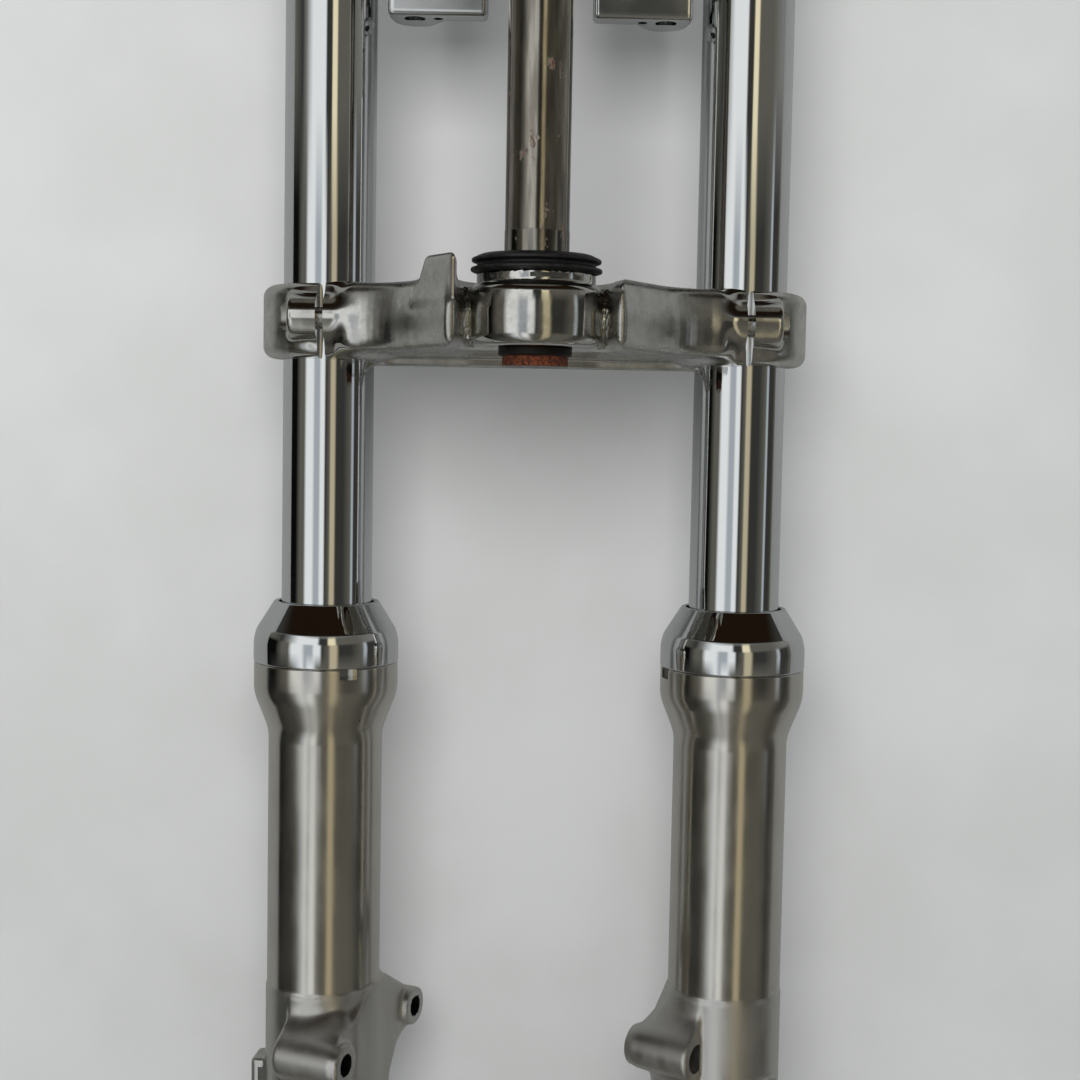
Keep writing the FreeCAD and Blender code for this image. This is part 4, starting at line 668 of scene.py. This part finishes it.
def lower_clamp_form(x, y, z):
    """Distance to the lower clamp's skin, before its holes."""
    plan = mirrored([(89, 90), (89, 35), (78, 24.6, 10), (62, 22.0, 30), (34.5, -20.5, 3),
                     (31.5, -20.5, 1.5), (26.5, -3)])
    crown = 2.0 * ((z + 19.3) / 14.0) ** 2
    arms = rounded_pair(outline_form(x, y, soft_corners(plan)) + crown, between(z, -29.6, -1.6), 4.0)
    well = bar_form(x, y, z, 30.5, -4.5, 30, 1.0)
    arms = soft_max(arms, -well, 2.0)
    pocket = plate_form(x, y, z, mirrored([(53, 80, 6), (53, 56, 6), (20, 32, 6)]), -16, 30, 2.0)
    arms = soft_max(arms, -pocket, 2.0)
    rib = block_form(x, y, z, ((-89, 89), (80, 90), (-33.4, -1.8)), 2.0)
    body = soft_min(arms, rib, 2.5)
    hub = bar_form(x, y, z, 26.9, -29.5, -3.2, 5.0) + 0.9 * ((z + 16.5) / 12.0) ** 2
    seat = bar_form(x, y, z, 23.5, -9, 0, 0.6)
    body = soft_min(body, soft_min(hub, seat, 1.2), 2.0)
    behind_face = (x + 34.5) * 0.837 + (y + 19.5) * 0.548
    tab = plate_form(x, z, behind_face, [(-49, -12), (-46.5, -3, 4), (-43.5, 6.4, 2.6), (-31.2, 6.4, 2.0),
                                         (-31.2, -12)], 0.0, 12.0, 1.8)
    body = soft_min(body, tab, 3.0)
    for sign in (-1, 1):
        ring = bar_form(x - TUBE_X * sign, y - TUBE_Y, z, 28.0, -32.2, -1.2, 5.0)
        body = soft_min(body, ring, 5.0)
        outward = x * sign
        boss = bar_form(y - BOLT_Y, z - BOLT_Z, outward, 9.5, 73.0, 102.5, 1.6)
        body = soft_min(body, boss, 3.0)
    return body


points, quads = net(lower_clamp_form, (-120, -30, -36), (120, 93, 9), 0.9)
lower_clamp = shown("lower_clamp_forged", points, quads.tolist(), clamp_metal)
cutters = [bar_cutter(12.7, (0, 0, -60), 90, "Z"),
           block_cutter(((-2.5, 12.5), (-29, -17.5), (-2.6, -0.9)))]
for sign in (-1, 1):
    x = TUBE_X * sign
    cutters.append(bar_cutter(19.54, (x, TUBE_Y, -60), 90, "Z"))
    cutters.append(block_cutter(((x - 1.6, x + 1.6), (10, 46), (-50, 20))))
    cutters.append(bar_cutter(4.04, (min(x - 18 * sign, x + 5 * sign), BOLT_Y, BOLT_Z), 23, "X"))
    cutters.append(bar_cutter(6.8, (min(x + 5 * sign, x + 18 * sign), BOLT_Y, BOLT_Z), 13, "X"))
carved(lower_clamp, cutters)
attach(lower_clamp, "clamps_and_tubes")
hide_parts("lower_clamp")
print("lower clamp:", len(lower_clamp.data.polygons), "faces")

# %% [markdown]
# The upper clamp is just outside the photograph. It is a flatter plate of the same family, with the
# same split rings, the two riser holes and the stem's nut between them.

# %% Upper clamp
def upper_clamp_form(x, y, z):
    """Distance to the upper clamp's skin, before its holes."""
    plan = mirrored([(89, 82), (89, 42, 2), (60, 26, 20), (21, -12, 6)])
    body = plate_form(x, y, z, plan, 168.0, 192.0, 3.5)
    body = soft_min(body, bar_form(x, y, z, 23.0, 168.0, 192.0, 3.0), 5.0)
    for sign in (-1, 1):
        ring = bar_form(x - TUBE_X * sign, y - TUBE_Y, z, 28.0, 168.0, 192.0, 4.0)
        body = soft_min(body, ring, 5.0)
        boss = bar_form(y - BOLT_Y, z - 180.0, x * sign, 9.5, 71.0, 102.5, 1.6)
        body = soft_min(body, boss, 3.0)
    return body


points, quads = net(upper_clamp_form, (-120, -26, 166), (120, 93, 194), 1.1)
upper_clamp = shown("upper_clamp_forged", points, quads.tolist(), upper_metal)
cutters = [bar_cutter(11.14, (0, 0, 150), 60, "Z")]
for sign in (-1, 1):
    x = TUBE_X * sign
    cutters.append(bar_cutter(19.54, (x, TUBE_Y, 150), 60, "Z"))
    cutters.append(block_cutter(((x - 1.6, x + 1.6), (10, 46), (150, 210))))
    cutters.append(bar_cutter(4.04, (min(x - 18 * sign, x + 5 * sign), BOLT_Y, 180), 23, "X"))
    cutters.append(bar_cutter(6.8, (min(x + 5 * sign, x + 18 * sign), BOLT_Y, 180), 13, "X"))
    cutters.append(bar_cutter(6.45, (44.5 * sign, 30, 150), 60, "Z"))
    cutters.append(bar_cutter(2.5, (53.3 * sign, 57.25, 163), 20, "Z"))
carved(upper_clamp, cutters)
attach(upper_clamp, "clamps_and_tubes")
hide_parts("upper_clamp")
print("upper clamp:", len(upper_clamp.data.polygons), "faces")

# %% [markdown]
# Each hanging bracket is a thin casting with a chromed face. Only its foot is in the photograph:
# a flat rear face, and a lobe that swells forward around the screw.

# %% Brackets
def bracket_form(sign):
    """Distance to one bracket's skin."""
    def form(x, y, z):
        out = x * sign
        foot = plate_form(out, y, z, [(23, 51, 1.2), (63.5, 51, 1.2), (63.5, 75, 10), (47.5, 75, 7),
                                      (38.5, 60.5, 7), (23, 60.5, 1.2)], 113.0, 124.0, 1.2)
        upright = block_form(out, y, z, ((23, 63.5), (51, 60.5), (113, 168)), 1.2)
        return soft_min(foot, upright, 3.0)
    return form


for side, sign in SIDES.items():
    low_x, high_x = sorted((21 * sign, 66 * sign))
    points, quads = net(bracket_form(sign), (low_x, 49, 111), (high_x, 77, 170), 0.7)
    bracket = shown(f"chromed_bracket_{side}", points, quads.tolist(), bracket_chrome)
    carved(bracket, [bar_cutter(4.5, (53.3 * sign, 57.25, 100), 21, "Z"),
                     bar_cutter(2.8, (53.3 * sign, 57.25, 100), 80, "Z"),
                     bar_cutter(2.0, (43.3 * sign, 56.75, 100), 21, "Z")])
    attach(bracket, "clamps_and_tubes")
    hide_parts(f"bracket_{side}")
print("brackets done")

# %% [markdown]
# A lower leg is cast in one piece. Its head and barrel are turned, and below them the barrel grows
# a flat side towards the wheel, with a long cross boss behind and an ear in front for the brake.
# The turned part is a lathe and the cast part a blended form. They meet on the same circle.

# %% Lower legs
JOINT_Z, CAST_Z, FOOT_Z, AXLE_Z = -296.0, -306.0, -545.0, -520.0
REAR_LUG, FRONT_LUG = (-29.0, -330.0), (34.0, -324.6)
GUIDE_TURN = 16.4
NOTCH_TURN = {"left": 42.0, "right": 50.0}


def leg_form(inward, pinched):
    """Distance to a leg's cast part in the leg's own axes; inward is the wheel's side."""
    guide_turn = math.radians(GUIDE_TURN)

    def form(x, y, z):
        u = x * inward
        round_gap = np.hypot(u, y)
        barrel = rounded_pair(round_gap - 24.7, between(z, FOOT_Z, JOINT_Z + 8), 5.0)
        cast = rounded_pair(round_gap - 24.95, between(z, FOOT_Z, CAST_Z), 1.5)
        body = soft_min(barrel, cast, 1.2)
        lug_round = np.hypot(y - REAR_LUG[0], z - REAR_LUG[1]) - 9.0
        back_plate = block_form(u, y, z, ((-60, 25.5), (-24.6, 4), (AXLE_Z, CAST_Z - 7)), 9.0)
        swept = soft_min(soft_min(cast, back_plate, 8.0), lug_round, 13.0)
        web = rounded_pair(swept, between(u, -2.5, 25.5), 1.2)
        body = soft_min(body, web, 1.5)
        wall = plate_form(y, z, u, [
            (-16, CAST_Z - 10, 8), (-6, CAST_Z - 1, 8), (12, CAST_Z + 3, 6), (34, -316.1, 3),
            (42, -324.6, 6), (34, -333.1, 3), (23, -337.6, 9), (16, -350.6, 9),
            (14, AXLE_Z), (-16, AXLE_Z)], 6.5, 25.5, 1.5)
        body = soft_min(body, wall, 3.0)
        rear = bar_form(y - REAR_LUG[0], z - REAR_LUG[1], u, 9.0, -2.5, 28.5, 1.3)
        body = soft_min(body, rear, 2.0)
        front = bar_form(y - FRONT_LUG[0], z - FRONT_LUG[1], u, 8.5, 6.5, 28.5, 0.8)
        body = soft_min(body, front, 2.0)
        axle = bar_form(y, z - AXLE_Z, u, 25.0, -24.7, 28.5, 2.0)
        body = soft_min(body, axle, 5.0)
        drain = bar_form(y, z + 476.0, -u, 7.0, 15.0, 25.9, 0.8)
        body = soft_min(body, drain, 2.5)
        out = -u * math.cos(guide_turn) - y * math.sin(guide_turn)
        back = -u * math.sin(guide_turn) + y * math.cos(guide_turn)
        guide = block_form(out, back, z, ((20, 31.0), (-7, 7), (-367, -341)), 2.2)
        body = soft_min(body, guide, 2.0)
        if pinched:
            ear = block_form(-u, y, z, ((9, 24.7), (-19, 19), (FOOT_Z, AXLE_Z - 8)), 3.0)
            body = soft_min(body, ear, 4.0)
        return soft_max(body, FOOT_Z + 0.1 - z, 0.5)
    return form


def leg_cutters(side, inward, turn, centre):
    """Bores and holes of a leg's cast part."""
    def along(radius, far_in, length, y, z):
        start = -far_in if inward < 0 else far_in - length
        return bar_cutter(radius, (start, y, z), length, "X", turn, centre)

    cutters = [
        bar_cutter(20.75, (0, 0, -492), 260, "Z", turn, centre),
        bar_cutter(4.3, (0, 0, -501), 12, "Z", turn, centre),
        bar_cutter(8.0, (0, 0, -560), 60, "Z", turn, centre),
        along(9.6, 45, 90, 0, AXLE_Z),
        along(10.6, 11, 22, 0, AXLE_Z),
        along(4.75, 45, 48, *REAR_LUG),
        along(6.2, 6.5, 9.6, *REAR_LUG),
        along(4.5, 45, 42, *FRONT_LUG),
        along(3.0, -17, 12, 0, -476.0),
    ]
    eye = shown("cutter", placed([(x, y, z) for x in (23.2, 27.6) for y in (-9, 9) for z in (-363, -345)]),
                [(0, 1, 3, 2), (4, 6, 7, 5), (0, 4, 5, 1), (2, 3, 7, 6), (0, 2, 6, 4), (1, 5, 7, 3)])
    heading = 180 + GUIDE_TURN if inward > 0 else -GUIDE_TURN
    eye.data.transform(Matrix.Translation(Vector((centre[0], centre[1], 0)) * MM)
                       @ Matrix.Rotation(math.radians(turn + heading), 4, "Z"))
    cutters.append(eye)
    if side == "right":
        reach = sorted((-inward * 10.7, -inward * 30.0))
        cutters.append(block_cutter((reach, (-1.5, 1.5), (-560, AXLE_Z)), turn, centre))
        pinch_x, pinch_z = -inward * 17.2, AXLE_Z - 16.6
        cutters.append(bar_cutter(4.04, (pinch_x, -30, pinch_z), 60, "Y", turn, centre))
        cutters.append(bar_cutter(6.8, (pinch_x, -36, pinch_z), 25, "Y", turn, centre))
    return cutters


for side, sign in SIDES.items():
    inward, turn, centre = -sign, LEG_TURN[side], tube_centre(side)
    head = spun(f"leg_head_and_barrel_{side}", [
        (31.2, RIM, 0.9), (31.2, -176.5, 20), (24.7, -193.0, 20), (24.7, JOINT_Z), (20.6, JOINT_Z),
        (20.6, -204), (21.2, -204), (21.2, -189), (26.0, -189), (26.0, -176), (26.8, -176),
        (26.8, -174.4), (26.0, -174.4), (26.0, RIM)], leg_metal, centre, rounds=192, sharp=25)
    notch = block_cutter(((24, 34), (-3.75, 3.75), (RIM - 4.5, RIM + 5)))
    notch_way = turn + (180 + NOTCH_TURN[side] if inward < 0 else -NOTCH_TURN[side])
    notch.data.transform(Matrix.Translation(Vector((centre[0], centre[1], 0)) * MM)
                         @ Matrix.Rotation(math.radians(notch_way), 4, "Z"))
    carved(head, [notch], sharp=25)
    points, quads = net(leg_form(inward, side == "right"), (-36, -42, -548), (36, 46, -284), 1.0)
    casting = shown(f"leg_casting_{side}", placed(points, turn, centre), quads.tolist(), leg_metal)
    top = block_cutter(((-60, 60), (-60, 60), (JOINT_Z, -200)), turn, centre)
    carved(casting, [top] + leg_cutters(side, inward, turn, centre), sharp=30)
    # Faces inside the lug holes get the dark bore tone, which is painted shade.
    casting.data.materials.append(bore_painted_shade)
    faces = casting.data.polygons
    spots = np.empty(len(faces) * 3)
    faces.foreach_get("center", spots)
    spots = placed(spots.reshape(-1, 3) / MM - (centre[0], centre[1], 0), -turn)
    in_bore_shade = np.zeros(len(faces), dtype=bool)
    for (lug_y, lug_z), radius in ((REAR_LUG, 4.9), (FRONT_LUG, 4.65)):
        off_axis = np.hypot(spots[:, 1] - lug_y, spots[:, 2] - lug_z)
        in_bore_shade |= (off_axis < radius) & (spots[:, 0] * inward > -3.1)
    faces.foreach_set("material_index", in_bore_shade.astype(int))
    for piece in (head, casting):
        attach(piece, f"{side}_leg")
        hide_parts(f"lower_leg_{side}")
    print(side, "leg casting:", len(casting.data.polygons), "faces")

# %% [markdown]
# A fork spring stands on the head of its damper rod, which rises with the leg. It is wound here as one round
# wire.

# %% Fork springs
SLIDE_MM, WIRE_MM, SPRING_TURNS = 90.0, 4.6, 22


def wound(name, centre, mean, low, high, material):
    """A round wire wound between two heights, closed at both ends."""
    sides, steps = 12, SPRING_TURNS * 32
    share = np.linspace(0, 1, steps + 1)[:, None]
    around = np.linspace(0, 2 * math.pi, sides, endpoint=False)[None, :]
    angle = share * SPRING_TURNS * 2 * math.pi
    radius = mean + WIRE_MM / 2 * np.cos(around)
    height = low + WIRE_MM / 2 + (high - low - WIRE_MM) * share + WIRE_MM / 2 * np.sin(around)
    points = np.stack([centre[0] + radius * np.cos(angle), centre[1] + radius * np.sin(angle), height],
                      axis=-1)
    faces = [tuple(range(sides)), tuple(steps * sides + side for side in reversed(range(sides)))]
    for step in range(steps):
        for side in range(sides):
            first, second = step * sides + side, step * sides + (side + 1) % sides
            faces.append((first, first + sides, second + sides, second))
    return shown(name, points.reshape(-1, 3), faces, material)


for side in SIDES:
    lowest, highest = (np.array(corner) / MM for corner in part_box(f"fork_spring_{side}"))
    mean_radius = (highest[0] - lowest[0] - WIRE_MM) / 2
    spring = wound(f"fork_spring_wound_{side}", tube_centre(side), mean_radius, lowest[2], highest[2],
                   FINISHES["spring_steel"])
    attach(spring, "clamps_and_tubes")
    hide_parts(f"fork_spring_{side}")
    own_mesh(spring)
print("fork springs wound")

# %% [markdown]
# What is left of the CAD frame keeps its shape: bolts, nuts, small springs, bushes and seals are
# already right. Each gets the finish that its slot in the record names.

# %% Finish the CAD pieces
slot_of = {part["node"]: part["material_slot"] for part in frame["record"]["subparts"]}
for name, piece in frame["nodes"].items():
    finish = FINISHES[slot_of[name]]
    if not piece.data.materials:
        piece.data.materials.append(finish)
    for index in range(len(piece.data.materials)):
        piece.data.materials[index] = finish
print("finished", len(frame["nodes"]), "CAD nodes")

# %% [markdown]
# The fork hangs in front of a plain pale wall, over a plain pale floor. The wall is one-sided, so a
# camera behind it still sees the fork.

# %% Stage
def stage_material(name, reflected_shade_hex):
    """Matt pale paint seen from its front only, shown in reflections with a darker painted shade, or not at
    all.
    """
    material, tree, shader, place = new_material(name)
    shader.inputs["Roughness"].default_value = 0.85
    shader.inputs["Specular IOR Level"].default_value = 0.15
    tone = ramp(tree, noise(tree, place, 90, detail=5), [(0.3, "#CFCFCD"), (0.7, "#D6D6D5")])
    is_glossy = add(tree, "ShaderNodeLightPath").outputs["Is Glossy Ray"]
    unseen = add(tree, "ShaderNodeNewGeometry").outputs["Backfacing"]
    if reflected_shade_hex:
        tone = mixed(tree, is_glossy, tone, linear(reflected_shade_hex))
    else:
        unseen = add(tree, "ShaderNodeMath", {0: unseen, 1: is_glossy}, operation="MAXIMUM").outputs[0]
    tree.links.new(tone, shader.inputs["Base Color"])
    clear = add(tree, "ShaderNodeBsdfTransparent")
    blend = add(tree, "ShaderNodeMixShader", {0: unseen, 1: shader.outputs["BSDF"], 2: clear.outputs["BSDF"]})
    output = next(node for node in tree.nodes if node.type == "OUTPUT_MATERIAL")
    tree.links.new(blend.outputs[0], output.inputs["Surface"])
    return material


WALL_Y, FLOOR_Z = 128.0, -600.0
# In reflections the wall is a darker grey. That grey is painted shade on the wall as the polished metal shows
# it.
wall_paint = stage_material("pale_wall_paint", "#9C9C9A")
floor_paint = stage_material("pale_floor_paint", None)
wall = shown("wall", [(-640, WALL_Y, FLOOR_Z), (640, WALL_Y, FLOOR_Z), (640, WALL_Y, 700),
                      (-640, WALL_Y, 700)], [(0, 1, 2, 3)], wall_paint)
floor = shown("floor", [(-1800, -1800, FLOOR_Z), (1800, -1800, FLOOR_Z), (1800, WALL_Y, FLOOR_Z),
                        (-1800, WALL_Y, FLOOR_Z)], [(0, 1, 2, 3)], floor_paint)

# %% [markdown]
# Polished metal shows the room, so the room matters more than the lamps. Here it is a dim studio of
# a few plain tones: a broad window with a blind to the left of the camera, a dark drape beside it, a
# cream door to the right, a row of lamps and a timber ceiling. Matt things see an even grey sky.

# %% Studio room
ROOM_TONES = {"window": "#FAFCFC", "blind": "#B4BAC0", "drape": "#0C0C0A", "plaster": "#848480",
              "wall": "#66645C", "shade": "#3A3A37", "door": "#C8BC9E", "lamp": "#FFF2CC",
              "timber": "#20160E"}


def studio_world():
    """An even sky for matt things and a studio with soft windows for polished ones."""
    world = bpy.data.worlds.new("studio")
    world.use_nodes = True
    tree = world.node_tree
    tree.nodes.clear()
    way = add(tree, "ShaderNodeTexCoord").outputs["Generated"]
    part = add(tree, "ShaderNodeSeparateXYZ", {0: way})
    toward = add(tree, "ShaderNodeMath", {0: part.outputs["Y"], 1: -1.0}, operation="MULTIPLY").outputs[0]
    turn = add(tree, "ShaderNodeMath", {0: part.outputs["X"], 1: toward}, operation="ARCTAN2").outputs[0]
    around = add(tree, "ShaderNodeMapRange", {"Value": turn, "From Min": -math.pi,
                                              "From Max": math.pi}).outputs[0]

    def at(degrees):
        return (degrees + 180) / 360

    def all_round(*things):
        stops = [(at(degrees), ROOM_TONES[thing]) for degrees, thing in things]
        return ramp(tree, around, stops, smooth=False)

    eye_level = all_round(
        (-150, "plaster"), (-112, "shade"), (-104, "drape"), (-80, "drape"), (-67, "wall"), (-56, "wall"),
        (-49, "window"), (-33, "window"), (-27, "blind"), (-16, "blind"), (-12, "window"), (-4, "window"),
        (0, "shade"), (10, "wall"), (14, "door"), (22, "door"), (27, "shade"), (46, "shade"), (66, "wall"),
        (70, "blind"), (73, "blind"), (76, "shade"), (90, "shade"), (98, "wall"), (112, "plaster"))
    low_level = all_round(
        (-150, "plaster"), (-112, "shade"), (-98, "drape"), (-80, "shade"), (-62, "shade"), (-50, "wall"),
        (-42, "blind"), (-33, "window"), (-27, "blind"), (-22, "window"), (-15, "window"), (-9, "plaster"),
        (-1, "wall"), (10, "wall"), (14, "door"), (21, "door"), (27, "wall"), (60, "wall"), (82, "shade"),
        (98, "wall"), (112, "plaster"))
    lamp_level = all_round(
        (-125, "plaster"), (-95, "wall"), (-70, "shade"), (-58, "plaster"), (-40, "window"), (-8, "window"),
        (-4, "shade"), (8, "shade"), (11, "lamp"), (20, "lamp"), (24, "wall"), (60, "wall"), (90, "plaster"))

    def level(low, high, most=1.0):
        return add(tree, "ShaderNodeMapRange", {"Value": part.outputs["Z"], "From Min": low, "From Max": high,
                                                "To Max": most}).outputs[0]

    above = ramp(tree, level(0.46, 0.96), [
        (height, ROOM_TONES[thing]) for height, thing in
        ((0.0, "plaster"), (0.22, "shade"), (0.5, "timber"), (0.85, "timber"), (1.0, "wall"))])
    lamps = mixed(tree, level(0.18, 0.26), eye_level, lamp_level)
    ceiling = mixed(tree, level(0.44, 0.50), lamps, above)
    lower = mixed(tree, level(-0.12, -0.24), ceiling, low_level)
    shown_room = mixed(tree, level(-0.50, -0.98, 0.8), lower, linear(ROOM_TONES["wall"]))
    is_glossy = add(tree, "ShaderNodeLightPath").outputs["Is Glossy Ray"]
    colour = mixed(tree, is_glossy, linear("#CACDCF"), shown_room)
    back = add(tree, "ShaderNodeBackground", {"Color": colour, "Strength": 1.0})
    add(tree, "ShaderNodeOutputWorld", {"Surface": back.outputs[0]})
    bpy.context.scene.world = world


def soft_lamp(name, place_mm, target_mm, size_mm, watts, glossy=True):
    """A square softbox aimed at a point."""
    data = bpy.data.lights.new(name, "AREA")
    data.size = size_mm * MM
    data.energy = watts
    lamp = bpy.data.objects.new(name, data)
    lamp.location = Vector(place_mm) * MM
    aim = Vector(target_mm) * MM - lamp.location
    lamp.rotation_euler = aim.to_track_quat("-Z", "Y").to_euler()
    lamp.visible_camera = False
    lamp.visible_glossy = glossy
    bpy.context.scene.collection.objects.link(lamp)
    return lamp


studio_world()
soft_lamp("window_softbox", (-90, -760, 230), (0, 60, -140), 480, 4.9, glossy=False)
bpy.context.scene.view_settings.view_transform = "Standard"
print("studio lit")
